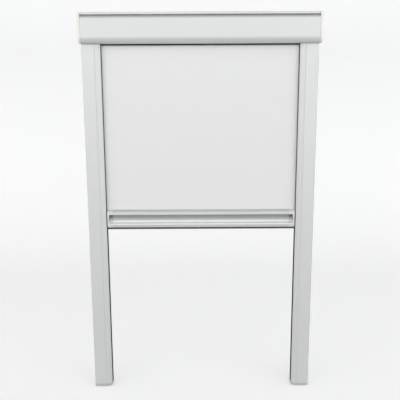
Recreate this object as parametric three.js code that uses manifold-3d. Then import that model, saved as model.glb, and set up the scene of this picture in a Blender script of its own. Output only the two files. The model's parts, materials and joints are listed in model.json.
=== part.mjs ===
// A roller blind for a roof window: a headbox with a spring roller, two side rails and a hand bar
// that runs in them. Millimetres, +Z up. The origin is the middle of the base: x = 0 halfway between
// the rails, y = 0 halfway between the front and the back, z = 0 under the feet. The front faces -Y.
import * as THREE from "three";
import { mergeVertices } from "three/addons/utils/BufferGeometryUtils.js";
import Module from "manifold-3d";

const wasm = await Module();
wasm.setup();

// The whole blind
const blindWidth = 488; // over the headbox end caps
const railLength = 751; // aluminium of one side rail
const wall = 1.6; // of the headbox and rail profiles
const clearance = 0.3; // between pieces that seat in or on each other
const overrun = 2; // how far a cut runs past the face that it opens
const weld = 1e-4; // points closer than this are one
const barDrop = 347; // from the headbox down to the top of the hand bar, as the blind hangs here

// Headbox
const headboxHeight = 61;
const headboxDepth = 42;
const endCapThickness = 5;
const endCapOverhang = 2.8; // end cap's outer face past the side rail's
const endCapCorner = 2.5; // radius of the end cap's upper front corner
const coverLowRadius = 16; // the front cover's large lower bend
const coverTopRadius = 6;
const coverTopDepth = 9; // how far the cover's top edge turns back
const rimHeight = 4; // front rim of the back profile, above the cover
const rimSetback = 1; // rim behind the cover's face
const rimRadius = 0.8;
const coverSeam = 1.2; // open line between the rim and the cover
const exitLip = 4; // height of the lips on both sides of the cloth's exit
const sealHang = 2.5; // how far the brush at the exit hangs below the headbox
const screwPortRadius = 3; // round ports in the back profile that take the end cap screws
const screwPortForward = 4.2; // port axis in front of the back plane
const screwPortInset = 6; // port axis from the top of the headbox
const screwPortRise = 9; // lower port's axis from the bottom of the headbox
const screwRadius = 1.3;
const screwHeadRadius = 2.7;
const screwHeadHeight = 1.8;
const screwLength = 14;

// Cloth
const fabricThickness = 0.4;
const fabricPlane = 9; // middle of the hanging cloth, in front of the back plane
const fabricEntry = 12; // how far each edge of the cloth reaches into its rail

// Side rail
const railWidth = 38;
const railDepth = 22;
const slotMouth = 8; // opening between the two ledges of a rail, and of the headbox exit
const slotDepth = 14; // from the rail's inner edge to the web
const ledgeReach = 8;
const railEdgeRadius = 1.2;
const grooveFromEdge = 12; // fine groove in the cover's face, from the rail's inner edge
const grooveWidth = 1.2;
const grooveDepth = 0.7;
const creaseFromEdge = 6.6; // where the cover's face turns down to the nose
const creaseDrop = 0.9;
const noseDrop = 3.6; // the nose's tip behind the cover's face
const noseRadius = 1.5;
const clipReach = 7; // length of the cover's clip legs
const clipWall = 1.4;
const fixingHoleRadius = 2.2; // screw holes in the rail's floor
const fixingHoleInset = 90; // first and last hole from the ends of the rail
const pileWidth = 4;
const pileHeight = 2.1;
const pileReach = 1.2; // pile past the rail's inner edge

// Foot of a rail
const footPlate = 4;
const footCrown = 2; // the arch under the plate
const footPlugHeight = 14;

// Connector between a rail and the headbox
const connectorDrop = 40; // part inside the rail
const connectorRise = 34; // part inside the headbox
const connectorScrewRise = 20;

// Roller, its axis measured from the headbox's bottom
const rollAxisRise = 30;
const rollRoomShare = 0.1048; // of the headbox's depth, between the wound cloth and its front wall
const tubeShare = 0.83; // tube's radius in that of the cloth wound on it as the blind hangs here
const tubeWall = 1;
const tubeOverhang = 1; // tube past the cloth at each end
const plugFlange = 2;
const plugReach = 18; // plug inside the tube
const shaftShare = 0.3; // shaft's radius in the tube's bore
const turnClearance = 0.4; // round what turns on or in something
const bossGap = 1; // between the end cap's boss and the rail's connector
const bossLength = 13;
const bearingShare = 0.65; // bearing's outer radius in the boss
const tangThicknessShare = 1.13; // of the shaft's radius
const tangHeightShare = 1.8;
const springShare = 0.75; // radius to the middle of the wire, in the tube's bore
const springWireShare = 0.0933; // wire's radius in that of its coils
const springTurns = 40;
const springLength = 140;
const anchorLength = 12;
const anchorCollar = 2;
const plugCollar = 6;

// Hand bar, its section measured from its own bottom
const barHeight = 38;
const barBack = 3.5; // back of the bar in front of the back plane
const barFront = 19.5;
const barWall = 1.5;
const barSideGap = 2; // between the bar's end and the rail
const barCapLength = 12;
const barCapPlate = 4; // solid end of the bar's cap
const lipTop = 35; // top of the flat front of the upper lip
const lipRadius = 1;
const domeForward = 12; // where the bar's gently sloping top starts
const lipHollowBack = 13.2; // small hollow in the upper lip
const lipHollowFrontRise = 4;
const lipHollowBackRise = 6;
const scoopTop = 28.5; // underside of the upper lip
const scoopFloor = 12.4; // deepest part of the finger groove, in front of the back plane
const scoopTurn = 18.5; // height of that deepest part
const upperLipFlat = 0.8; // level edge under the upper lip, before the groove curves in
const lowerLipTop = 9.2;
const lowerLipFront = 19;
const lowerLipFlat = 0.8;
const bevelTop = 5.4;
const bevelFoot = 16.2;
const bottomRadius = 0.6;
const hemSlot = 1.2; // slot in the bar's top for the cloth
const splineBore = 2.2;
const splineRise = 30.4;
const splineRadius = 1.9;
const chamberTop = 26.5;
const hookSlot = 2; // slot in the bar's bottom for the seal's stem
const hookForward = 8;
const sealDrop = 4.2;
const sealBack = 6;
const sealFront = 15.4;
const sealHead = 1.2;
const sealHeadWidth = 4;
const sealStem = 1.4;

// Glide and brake in each end of the bar
const glideThickness = 2.4;
const glideLow = 5;
const glideHeight = 19;
const glideInside = 22; // stem inside the bar
const glideFootDepth = 12;
const padThickness = 1.4;
const padHeight = 16;
const padDepth = 7;
const brakeCoilRadius = 2.1; // middle of the wire
const brakeWire = 0.4; // wire radius
const brakeTurns = 8;
const brakeLength = 15.4;
const stopLength = 8;

// How finely round shapes are cut
const bendSteps = 8; // in a large bend of an outline
const edgeSteps = 3; // in a bend up to the small radius
const smallRadius = 2.6;
const roundSteps = 28;
const curlSteps = 8;
const wireSides = 5;

// Places that follow from the sizes above
const backY = headboxDepth / 2;
const metalBottom = footCrown + footPlate;
const headboxBottom = metalBottom + railLength;
const capOuter = blindWidth / 2;
const capInner = capOuter - endCapThickness;
const railOuter = capOuter - endCapOverhang;
const railInner = railOuter - railWidth;
const exitBack = fabricPlane - slotMouth / 2;
const exitFront = fabricPlane + slotMouth / 2;
const fabricHalf = railInner + fabricEntry;
const rollBack = fabricPlane + fabricThickness / 2 + clearance;
const rollRadius = (headboxDepth * (1 - rollRoomShare) - wall - rollBack) / 2;
const rollForward = rollBack + rollRadius;
const tubeRadius = rollRadius * tubeShare;
const tubeBore = tubeRadius - tubeWall;
const shaftRadius = tubeBore * shaftShare;
const springRadius = tubeBore * springShare;
const springWire = springRadius * springWireShare;
const rollAxis = new THREE.Vector3(0, backY - rollForward, headboxBottom + rollAxisRise);
const barBottom = headboxBottom - barDrop - barHeight;
const barEnd = railInner - barSideGap;
const barProfileEnd = barEnd - barCapLength;
const coverTop = headboxHeight - rimHeight - coverSeam;
const springInner = springRadius * Math.cos(Math.PI / curlSteps) - springWire; // inside its flat curls

const finish = {
  anodised: { color: 0xc8cccf, metalness: 0.85, roughness: 0.42 },
  mill: { color: 0xb4b8bb, metalness: 0.9, roughness: 0.35 },
  cream: { color: 0xe9eae0, metalness: 0, roughness: 0.5 },
  paleGrey: { color: 0xd6d8d2, metalness: 0, roughness: 0.5 },
  white: { color: 0xe6e7e4, metalness: 0, roughness: 0.45 },
  cloth: { color: 0xe6e6e5, metalness: 0, roughness: 0.9 },
  pile: { color: 0x2f3234, metalness: 0, roughness: 1 },
  rubber: { color: 0x232729, metalness: 0, roughness: 0.7 },
  steel: { color: 0xa9adb1, metalness: 1, roughness: 0.3 },
  felt: { color: 0x4b4e50, metalness: 0, roughness: 1 },
};

const materials = Object.fromEntries(
  Object.entries(finish).map(([name, look]) => [name, new THREE.MeshStandardMaterial(look)]),
);

const blind = new THREE.Group();

// Puts one named piece in the blind. A left-hand piece is its right-hand twin, mirrored.
function place(name, geometry, material, mirrored = false) {
  const mesh = new THREE.Mesh(geometry, materials[material]);
  mesh.name = name;
  if (mirrored) mesh.scale.x = -1;
  blind.add(mesh);
}

function placePair(name, geometry, material) {
  place(`${name}_right`, geometry, material);
  place(`${name}_left`, geometry, material, true);
}

// Joining and cutting

function solidOf(geometry) {
  const bare = geometry.index ? geometry.toNonIndexed() : geometry.clone();
  bare.deleteAttribute("normal");
  bare.deleteAttribute("uv");
  const merged = mergeVertices(bare, weld);
  const vertProperties = new Float32Array(merged.attributes.position.array);
  const triVerts = new Uint32Array(merged.index.array);
  return new wasm.Manifold(new wasm.Mesh({ numProp: 3, vertProperties, triVerts }));
}

function geometryOf(solid) {
  const mesh = solid.getMesh();
  const geometry = new THREE.BufferGeometry();
  geometry.setAttribute("position", new THREE.BufferAttribute(new Float32Array(mesh.vertProperties), 3));
  geometry.setIndex(new THREE.BufferAttribute(new Uint32Array(mesh.triVerts), 1));
  geometry.computeVertexNormals();
  return geometry;
}

const join = (...pieces) => geometryOf(pieces.map(solidOf).reduce((sum, piece) => sum.add(piece)));
const cut = (body, ...tools) =>
  geometryOf(tools.map(solidOf).reduce((left, tool) => left.subtract(tool), solidOf(body)));
const overlapOf = (one, other) => geometryOf(solidOf(one).intersect(solidOf(other)));

// Outlines and the ways they are carried

// The points of the arc that rounds the corner at here between its two neighbours.
function roundedCorner(before, here, after, radius) {
  const toBefore = before.clone().sub(here).normalize();
  const toAfter = after.clone().sub(here).normalize();
  const halfAngle = toBefore.angleTo(toAfter) / 2;
  const centre = toBefore.clone().add(toAfter).setLength(radius / Math.sin(halfAngle)).add(here);
  const start = toBefore.clone().multiplyScalar(radius / Math.tan(halfAngle)).add(here);
  const sweep = (Math.PI - 2 * halfAngle) * Math.sign(toAfter.cross(toBefore));
  const steps = radius > smallRadius ? bendSteps : edgeSteps;
  return Array.from({ length: steps + 1 }, (_, step) =>
    start.clone().rotateAround(centre, (sweep * step) / steps));
}

// A closed outline from corners [a, b] or, where the corner is rounded, [a, b, radius].
function outlineOf(corners) {
  const points = corners.map(([a, b]) => new THREE.Vector2(a, b));
  return new THREE.Shape(
    corners.flatMap(([, , radius], index) => {
      if (!radius) return [points[index]];
      const before = points.at(index - 1);
      const after = points[(index + 1) % points.length];
      return roundedCorner(before, points[index], after, radius);
    }),
  );
}

const rectangle = (a0, a1, b0, b1) => outlineOf([[a0, b0], [a1, b0], [a1, b1], [a0, b1]]);

function extruded(shape, length) {
  return new THREE.ExtrudeGeometry(shape, { depth: length, bevelEnabled: false, curveSegments: roundSteps });
}

// A section in (forward from the back plane, up) carried along X.
function alongX(shape, xFrom, xTo, zBase = 0) {
  const turn = new THREE.Matrix4().makeBasis(
    new THREE.Vector3(0, -1, 0),
    new THREE.Vector3(0, 0, 1),
    new THREE.Vector3(-1, 0, 0),
  );
  return extruded(shape, xTo - xFrom).applyMatrix4(turn).translate(xTo, backY, zBase);
}

// A section in (out from the rail's inner edge, forward from the back plane) carried along Z.
function alongZ(shape, zFrom, zTo) {
  const turn = new THREE.Matrix4().makeBasis(
    new THREE.Vector3(1, 0, 0),
    new THREE.Vector3(0, -1, 0),
    new THREE.Vector3(0, 0, -1),
  );
  return extruded(shape, zTo - zFrom).applyMatrix4(turn).translate(railInner, backY, zTo);
}

// A block from ranges in x, forward and z.
function block(xRange, forwardRange, zRange) {
  const [width, depth, height] = [xRange, forwardRange, zRange].map(([from, to]) => to - from);
  const middle = (range) => (range[0] + range[1]) / 2;
  return new THREE.BoxGeometry(width, depth, height).translate(
    middle(xRange),
    backY - middle(forwardRange),
    middle(zRange),
  );
}

// A profile of [x, radius] points turned round an axis along X.
function turned(profile, forward = rollForward, rise = rollAxis.z) {
  const points = profile.map(([x, radius]) => new THREE.Vector2(radius, x));
  return new THREE.LatheGeometry(points, roundSteps).rotateZ(-Math.PI / 2).translate(0, backY - forward, rise);
}

const rod = (radius, xFrom, xTo, forward, rise) =>
  turned([[xFrom, 0], [xFrom, radius], [xTo, radius], [xTo, 0]], forward, rise);

const sleeve = (inner, outer, xFrom, xTo, forward, rise) =>
  turned([[xFrom, inner], [xFrom, outer], [xTo, outer], [xTo, inner], [xFrom, inner]], forward, rise);

// A rod along Y, for holes and screws in the back.
function pinAlongY(radius, x, forwardFrom, forwardTo, z) {
  const length = forwardTo - forwardFrom;
  return new THREE.CylinderGeometry(radius, radius, length, roundSteps)
    .translate(x, backY - forwardFrom - length / 2, z);
}

// Springs

class Helix extends THREE.Curve {
  constructor(radius, length, turns) {
    super();
    Object.assign(this, { radius, length, turns });
    this.arcLengthDivisions = turns * curlSteps;
  }

  getPoint(share, target = new THREE.Vector3()) {
    const angle = 2 * Math.PI * this.turns * share;
    return target.set(this.length * share, this.radius * Math.cos(angle), this.radius * Math.sin(angle));
  }
}

// The least gap between stretches of a coil that lie at least half a turn apart.
function leastGap(helix, wireRadius) {
  const points = helix.getPoints(helix.turns * curlSteps);
  let least = Infinity;
  points.forEach((point, index) => {
    for (let other = index + curlSteps / 2; other < points.length; other += 1) {
      least = Math.min(least, point.distanceTo(points[other]));
    }
  });
  return least - 2 * wireRadius;
}

function coil(name, radius, wireRadius, length, turns) {
  const helix = new Helix(radius, length, turns);
  console.log(`${name}: least gap between turns ${leastGap(helix, wireRadius).toFixed(2)} mm`);
  const section = new THREE.Shape(
    Array.from({ length: wireSides }, (_, side) => {
      const angle = (2 * Math.PI * side) / wireSides;
      return new THREE.Vector2(wireRadius * Math.cos(angle), wireRadius * Math.sin(angle));
    }),
  );
  return new THREE.ExtrudeGeometry(section, { steps: turns * curlSteps, extrudePath: helix });
}

// Headbox

const screwPorts = [screwPortRise, headboxHeight - screwPortInset];
const profileEnd = capInner - clearance;

function headboxBack() {
  const rimFront = headboxDepth - rimSetback;
  const topInside = headboxHeight - wall;
  const hook = headboxDepth - coverTopDepth + clearance;
  const section = outlineOf([
    [0, 0],
    [exitBack, 0],
    [exitBack, exitLip],
    [exitBack - wall, exitLip],
    [exitBack - wall, wall],
    [wall, wall],
    [wall, topInside],
    [hook, topInside],
    [hook, coverTop + clearance],
    [hook + wall, coverTop + clearance],
    [hook + wall, topInside],
    [rimFront - wall, topInside],
    [rimFront - wall, headboxHeight - rimHeight],
    [rimFront, headboxHeight - rimHeight],
    [rimFront, headboxHeight, rimRadius],
    [0, headboxHeight],
  ]);
  const profile = alongX(section, -profileEnd, profileEnd, headboxBottom);
  const ports = screwPorts.map((rise) =>
    rod(screwPortRadius, -profileEnd, profileEnd, screwPortForward, headboxBottom + rise));
  const bores = screwPorts.map((rise) => rod(
    screwRadius + clearance,
    -profileEnd - overrun,
    profileEnd + overrun,
    screwPortForward,
    headboxBottom + rise,
  ));
  const connectorScrews = [-1, 1].map((side) => pinAlongY(
    screwRadius + clearance,
    side * connectorX,
    -overrun,
    wall + overrun,
    headboxBottom + connectorScrewRise,
  ));
  return cut(join(profile, ...ports), ...bores, ...connectorScrews);
}

function headboxCover() {
  const topEdge = headboxDepth - coverTopDepth;
  const section = outlineOf([
    [exitFront, 0],
    [headboxDepth, 0, coverLowRadius],
    [headboxDepth, coverTop, coverTopRadius],
    [topEdge, coverTop],
    [topEdge, coverTop - wall],
    [headboxDepth - wall, coverTop - wall, coverTopRadius - wall],
    [headboxDepth - wall, wall, coverLowRadius - wall],
    [exitFront + wall, wall],
    [exitFront + wall, exitLip],
    [exitFront, exitLip],
  ]);
  return alongX(section, -profileEnd, profileEnd, headboxBottom);
}

// The brush between the rails that closes the gap to the cloth as it leaves the headbox.
function headboxSeal() {
  const front = exitFront - clearance;
  const end = railInner - pileReach - clearance;
  return alongX(rectangle(front - pileHeight, front, -sealHang, exitLip), -end, end, headboxBottom);
}

const connectorFront = exitFront - clearance;
const bossRadius = rollForward - connectorFront - bossGap;

// The right-hand end cap. Its boss has a bore for the bearing or a slot for the spring shaft.
function headboxEndCap(bore) {
  const section = outlineOf([
    [0, 0],
    [headboxDepth, 0, coverLowRadius],
    [headboxDepth, headboxHeight, endCapCorner],
    [0, headboxHeight],
  ]);
  const plate = alongX(section, capInner, capOuter, headboxBottom);
  const boss = rod(bossRadius, capInner - bossLength, capInner + wall, rollForward, rollAxis.z);
  const screwHoles = screwPorts.flatMap((rise) => [
    rod(screwRadius + clearance, capInner - overrun, capOuter, screwPortForward, headboxBottom + rise),
    rod(
      screwHeadRadius + clearance,
      capOuter - screwHeadHeight - clearance,
      capOuter + overrun,
      screwPortForward,
      headboxBottom + rise,
    ),
  ]);
  return cut(join(plate, boss), bore, ...screwHoles);
}

// A pan-head screw lying along X, its head on the right and flush with the cap.
function capScrew(rise) {
  const headFace = capOuter - clearance / 2;
  const headSeat = headFace - screwHeadHeight + clearance;
  const profile = [
    [headSeat - screwLength, 0],
    [headSeat - screwLength + screwRadius, screwRadius],
    [headSeat, screwRadius],
    [headSeat, screwHeadRadius],
    [headFace - clearance, screwHeadRadius],
    [headFace, screwHeadRadius - clearance],
    [headFace, 0],
  ];
  return turned(profile, screwPortForward, headboxBottom + rise);
}

// Roller and spring motor

const bearingOuter = bossRadius * bearingShare;
const bossMouth = capInner - bossLength;
const tubeEnd = fabricHalf + tubeOverhang;
const plugFace = tubeEnd + clearance;
const plugBody = tubeBore - clearance;
const tangThickness = shaftRadius * tangThicknessShare;
const tangHeight = shaftRadius * tangHeightShare;

function rollerTube() {
  return sleeve(tubeBore, tubeRadius, -tubeEnd, tubeEnd);
}

// The wound cloth: its outline winds out by one thickness in a turn and ends in a step.
function fabricRoll() {
  const steps = roundSteps * 2;
  const points = Array.from({ length: steps + 1 }, (_, step) => {
    const angle = Math.PI + (2 * Math.PI * step) / steps;
    const radius = rollRadius - (fabricThickness * step) / steps;
    return new THREE.Vector2(rollForward + radius * Math.cos(angle), rollAxisRise + radius * Math.sin(angle));
  });
  const edge = new THREE.Shape(points);
  const bore = new THREE.Path();
  bore.absarc(rollForward, rollAxisRise, tubeRadius + clearance, 0, 2 * Math.PI);
  edge.holes.push(bore);
  return alongX(edge, -fabricHalf, fabricHalf, headboxBottom);
}

// A plug in the right-hand end of the tube, turning on the shaft.
function tubeEndPlug() {
  const bore = shaftRadius + turnClearance;
  return turned([
    [plugFace - plugReach, bore],
    [plugFace - plugReach, plugBody],
    [plugFace, plugBody],
    [plugFace, tubeRadius],
    [plugFace + plugFlange, tubeRadius],
    [plugFace + plugFlange, bore],
    [plugFace - plugReach, bore],
  ]);
}

// Modelled at the right-hand end and mirrored to the left: the plug is blind and holds the pin.
function idlePlug() {
  const bore = shaftRadius + clearance;
  const blind = plugFace - plugReach + wall;
  return turned([
    [plugFace - plugReach, 0],
    [plugFace - plugReach, plugBody],
    [plugFace, plugBody],
    [plugFace, tubeRadius],
    [plugFace + plugFlange, tubeRadius],
    [plugFace + plugFlange, bore],
    [blind, bore],
    [blind, 0],
  ]);
}

function idlePin() {
  const start = plugFace - plugReach + wall + clearance;
  return rod(shaftRadius, start, capInner - clearance);
}

function idleBearing() {
  return sleeve(shaftRadius + turnClearance, bearingOuter, bossMouth, capInner - clearance);
}

const springStart = plugFace - plugReach - turnClearance - anchorCollar;
const springFarEnd = springStart - springWire - clearance - springLength;

// The shaft stands still: its flat tang sits in the slot of the right-hand end cap.
function springShaft() {
  const tail = springFarEnd - springWire - clearance - plugCollar - overrun;
  const round = rod(shaftRadius, tail, bossMouth - clearance);
  const tang = block(
    [bossMouth - clearance - tangThickness, capInner - clearance],
    [rollForward - tangThickness / 2, rollForward + tangThickness / 2],
    [rollAxis.z - tangHeight / 2, rollAxis.z + tangHeight / 2],
  );
  return join(round, tang);
}

// A sleeve with a collar: one holds the spring's still end on the shaft, one its turning end.
function springHolder(collarFrom, collarTo, collarRadius, noseTo) {
  const bore = shaftRadius + turnClearance;
  const nose = springInner - clearance;
  return join(
    sleeve(bore, collarRadius, collarFrom, collarTo),
    sleeve(bore, nose, Math.min(noseTo, collarTo - wall), Math.max(noseTo, collarFrom + wall)),
  );
}

function springAnchor() {
  const collarRadius = springRadius + springWire + clearance;
  return springHolder(springStart, springStart + anchorCollar, collarRadius, springStart - anchorLength);
}

function springPlug() {
  const collarTo = springFarEnd - springWire - clearance;
  return springHolder(collarTo - plugCollar, collarTo, plugBody, collarTo + anchorLength);
}

function torsionSpring() {
  return coil("torsion spring", springRadius, springWire, springLength, springTurns)
    .translate(springFarEnd, rollAxis.y, rollAxis.z);
}

// Side rails, drawn for the right-hand side

const coverSeat = railDepth - wall; // back of the cover's face
const baseTop = coverSeat - clearance;
const webOuter = slotDepth + wall;
const innerLeg = webOuter + clearance;
const outerLeg = railWidth - wall - clearance - clipWall;
const chamberFrom = innerLeg + clipWall + clearance;
const chamberTo = outerLeg - clearance;
const chamberMiddle = (chamberFrom + chamberTo) / 2;
const connectorX = railInner + chamberMiddle;

function railBase() {
  const section = outlineOf([
    [0, 0],
    [railWidth, 0],
    [railWidth, baseTop],
    [railWidth - wall, baseTop],
    [railWidth - wall, wall],
    [webOuter, wall],
    [webOuter, baseTop],
    [slotDepth, baseTop],
    [slotDepth, wall],
    [wall, wall],
    [wall, exitBack - wall],
    [ledgeReach, exitBack - wall],
    [ledgeReach, exitBack],
    [0, exitBack],
  ]);
  const profile = alongZ(section, metalBottom, headboxBottom - clearance);
  const heights = [
    metalBottom + fixingHoleInset,
    metalBottom + railLength / 2,
    headboxBottom - fixingHoleInset,
  ];
  const holes = heights.map((z) => pinAlongY(fixingHoleRadius, connectorX, -overrun, wall + overrun, z));
  return cut(profile, ...holes);
}

// The front of the rail from its outer corner to the tip of the nose.
function railFace() {
  const grooveMiddle = grooveFromEdge - grooveWidth / 2;
  return [
    [railWidth, railDepth, railEdgeRadius],
    [grooveFromEdge, railDepth],
    [grooveMiddle, railDepth - grooveDepth],
    [grooveFromEdge - grooveWidth, railDepth - clearance],
    [creaseFromEdge, railDepth - creaseDrop],
    [0, railDepth - noseDrop, noseRadius],
  ];
}

function railCover() {
  const legTip = coverSeat - clipReach;
  const section = outlineOf([
    [0, exitFront],
    [ledgeReach, exitFront],
    [ledgeReach, exitFront + wall],
    [wall, exitFront + wall],
    [wall, railDepth - noseDrop - wall],
    [creaseFromEdge, railDepth - creaseDrop - wall],
    [slotDepth, coverSeat],
    [innerLeg, coverSeat],
    [innerLeg, legTip],
    [innerLeg + clipWall, legTip],
    [innerLeg + clipWall, coverSeat],
    [outerLeg, coverSeat],
    [outerLeg, legTip],
    [outerLeg + clipWall, legTip],
    [outerLeg + clipWall, coverSeat],
    [railWidth, coverSeat],
    ...railFace(),
  ]);
  return alongZ(section, metalBottom, headboxBottom - clearance);
}

function railSeal(forwardFrom) {
  return alongZ(
    rectangle(-pileReach, pileWidth - pileReach, forwardFrom, forwardFrom + pileHeight),
    metalBottom,
    headboxBottom - clearance,
  );
}

// A plate with the rail's own outline and an arched underside, and a plug that fills the chamber.
function railFoot() {
  const silhouette = outlineOf([[0, 0], [railWidth, 0], ...railFace()]);
  const column = alongZ(silhouette, 0, metalBottom - clearance);
  const middle = (railInner + railOuter) / 2;
  const bulge = ((railWidth / 2) ** 2 + footCrown ** 2) / (2 * footCrown);
  const half = Math.asin(railWidth / 2 / bulge);
  const arch = new THREE.Shape();
  arch.moveTo(railInner, metalBottom);
  arch.lineTo(railOuter, metalBottom);
  arch.absarc(middle, bulge, bulge, -Math.PI / 2 + half, -Math.PI / 2 - half, true);
  arch.closePath();
  const lens = extruded(arch, headboxDepth).rotateX(Math.PI / 2).translate(0, backY, 0);
  const plug = block(
    [railInner + chamberFrom, railInner + chamberTo],
    [wall + clearance, coverSeat - clipReach - clearance],
    [metalBottom - clearance - wall, metalBottom + footPlugHeight],
  );
  return join(overlapOf(column, lens), plug);
}

// The connector fills the top of the rail's chamber and stands up through the cloth's exit into the
// headbox, where a screw holds it to the back wall between the screw ports.
const connectorX0 = railInner + chamberFrom;
const connectorX1 = railInner + chamberTo;
const screwSeat = connectorFront - screwHeadHeight - clearance;

function railConnector() {
  const portFront = screwPortForward + screwPortRadius + clearance;
  const portTop = headboxBottom + screwPortRise + screwPortRadius + clearance;
  const top = headboxBottom + connectorRise;
  const body = join(
    block(
      [connectorX0, connectorX1],
      [wall + clearance, coverSeat - clipReach - clearance],
      [headboxBottom - connectorDrop, headboxBottom - clearance],
    ),
    block([connectorX0, connectorX1], [portFront, connectorFront], [headboxBottom - wall, top]),
    block([connectorX0, connectorX1], [wall + clearance, connectorFront], [portTop, top]),
  );
  const z = headboxBottom + connectorScrewRise;
  return cut(
    body,
    pinAlongY(screwRadius + clearance, connectorX, 0, connectorFront + overrun, z),
    pinAlongY(screwHeadRadius + clearance, connectorX, screwSeat, connectorFront + overrun, z),
  );
}

function connectorScrew() {
  const z = headboxBottom + connectorScrewRise;
  const headSeat = screwSeat + clearance;
  return join(
    pinAlongY(screwRadius, connectorX, clearance, headSeat + clearance, z),
    pinAlongY(screwHeadRadius, connectorX, headSeat, headSeat + screwHeadHeight - clearance, z),
  );
}

// Hand bar

// The finger groove's back: a quarter of an ellipse from the lower lip up to the deepest part, and
// another from there up to the upper lip. An offset moves both into the metal.
function scoopCurve(offset, firstStep, lastStep) {
  return Array.from({ length: lastStep + 1 - firstStep }, (_, index) => {
    const step = firstStep + index;
    const angle = (Math.PI / 2) * (step / bendSteps);
    const upper = step > bendSteps;
    const centre = upper ? barFront - upperLipFlat : lowerLipFront - lowerLipFlat;
    const reach = upper ? scoopTop - scoopTurn : scoopTurn - lowerLipTop;
    const depth = centre - scoopFloor + offset;
    return [centre - depth * Math.sin(angle), scoopTurn - (reach + offset) * Math.cos(angle)];
  });
}

function barOutline(scoop) {
  return outlineOf([
    [barBack, 0],
    [bevelFoot, 0, bottomRadius],
    [lowerLipFront, bevelTop],
    [lowerLipFront, lowerLipTop],
    ...scoop,
    [barFront, scoopTop],
    [barFront, lipTop, lipRadius],
    [domeForward, barHeight],
    [barBack, barHeight, bottomRadius],
  ]);
}

const fingerGroove = scoopCurve(0, 0, 2 * bendSteps);
const chamberBack = barBack + barWall;
const chamberFront = scoopFloor - barWall;
const lipHollow = [
  [lipHollowBack, scoopTop + barWall],
  [barFront - barWall, scoopTop + barWall],
  [barFront - barWall, scoopTop + barWall + lipHollowFrontRise],
  [lipHollowBack, scoopTop + barWall + lipHollowBackRise],
];
const hemCut = rectangle(
  fabricPlane - hemSlot / 2,
  fabricPlane + hemSlot / 2,
  splineRise,
  barHeight + overrun,
);

function barProfile() {
  const chamber = outlineOf([
    [chamberBack, barWall],
    [bevelFoot - barWall, barWall],
    [lowerLipFront - barWall, bevelTop],
    [lowerLipFront - barWall, lowerLipTop - barWall],
    ...scoopCurve(barWall, 2, bendSteps),
    [chamberFront, chamberTop],
    [chamberBack, chamberTop],
  ]);
  const hook = rectangle(hookForward - hookSlot / 2, hookForward + hookSlot / 2, -overrun, overrun);
  const through = [chamber, outlineOf(lipHollow), hemCut, hook].map((shape) =>
    alongX(shape, -barProfileEnd - overrun, barProfileEnd + overrun, barBottom));
  const bore = rod(
    splineBore,
    -barProfileEnd - overrun,
    barProfileEnd + overrun,
    fabricPlane,
    barBottom + splineRise,
  );
  return cut(alongX(barOutline(fingerGroove), -barProfileEnd, barProfileEnd, barBottom), ...through, bore);
}

const glideSpan = [barBottom + glideLow, barBottom + glideLow + glideHeight];
const glideBack = fabricPlane - glideThickness / 2;
const glideFront = fabricPlane + glideThickness / 2;

// The cap goes on with the bar's own outline, groove and all, and ends in a solid plate.
function barEndCap() {
  const from = barProfileEnd + clearance;
  const plateFrom = barEnd - barCapPlate;
  const lipPlug = rectangle(
    lipHollowBack + clearance,
    barFront - barWall - clearance,
    scoopTop + barWall + clearance,
    scoopTop + barWall + lipHollowFrontRise - clearance,
  );
  const lowerPlug = rectangle(
    glideFront + 2 * clearance,
    bevelFoot - barWall - clearance,
    barWall + clearance,
    bevelTop,
  );
  const body = join(
    alongX(barOutline(fingerGroove), from, plateFrom + clearance, barBottom),
    alongX(barOutline([]), plateFrom, barEnd, barBottom),
    alongX(lipPlug, from - barCapLength, from + clearance, barBottom),
    alongX(lowerPlug, from - barCapLength, from + clearance, barBottom),
  );
  return cut(
    body,
    alongX(hemCut, from - overrun, barEnd + overrun, barBottom),
    block(
      [from - overrun, barEnd + overrun],
      [glideBack - clearance, glideFront + clearance],
      [glideSpan[0] - clearance, glideSpan[1] + clearance],
    ),
  );
}

const footFrom = railInner + ledgeReach + 2 * clearance;
const padTo = railInner + slotDepth - clearance;
const footTo = padTo - padThickness - clearance;
const stemEnd = barProfileEnd - glideInside;

// A flat tongue that slides in the bar's end, with a foot that the rail's ledges hold.
function barGlide() {
  return join(
    block([stemEnd, footTo - clearance], [glideBack, glideFront], glideSpan),
    block([footFrom, footTo], [fabricPlane - glideFootDepth / 2, fabricPlane + glideFootDepth / 2], glideSpan),
  );
}

const glideMiddle = (glideSpan[0] + glideSpan[1]) / 2;

function brakePad() {
  return block(
    [footTo + clearance, padTo],
    [fabricPlane - padDepth / 2, fabricPlane + padDepth / 2],
    [glideMiddle - padHeight / 2, glideMiddle + padHeight / 2],
  );
}

const coilEnd = stemEnd - clearance - brakeWire;
const stopFace = coilEnd - brakeLength - brakeWire - clearance;
const chamberForward = (chamberBack + chamberFront) / 2;

function brakeSpring() {
  return coil("brake spring", brakeCoilRadius, brakeWire, brakeLength, brakeTurns)
    .translate(coilEnd - brakeLength, backY - chamberForward, glideMiddle);
}

function brakeStop() {
  return block([stopFace - stopLength, stopFace], [chamberBack + clearance, chamberFront - clearance], glideSpan);
}

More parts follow.
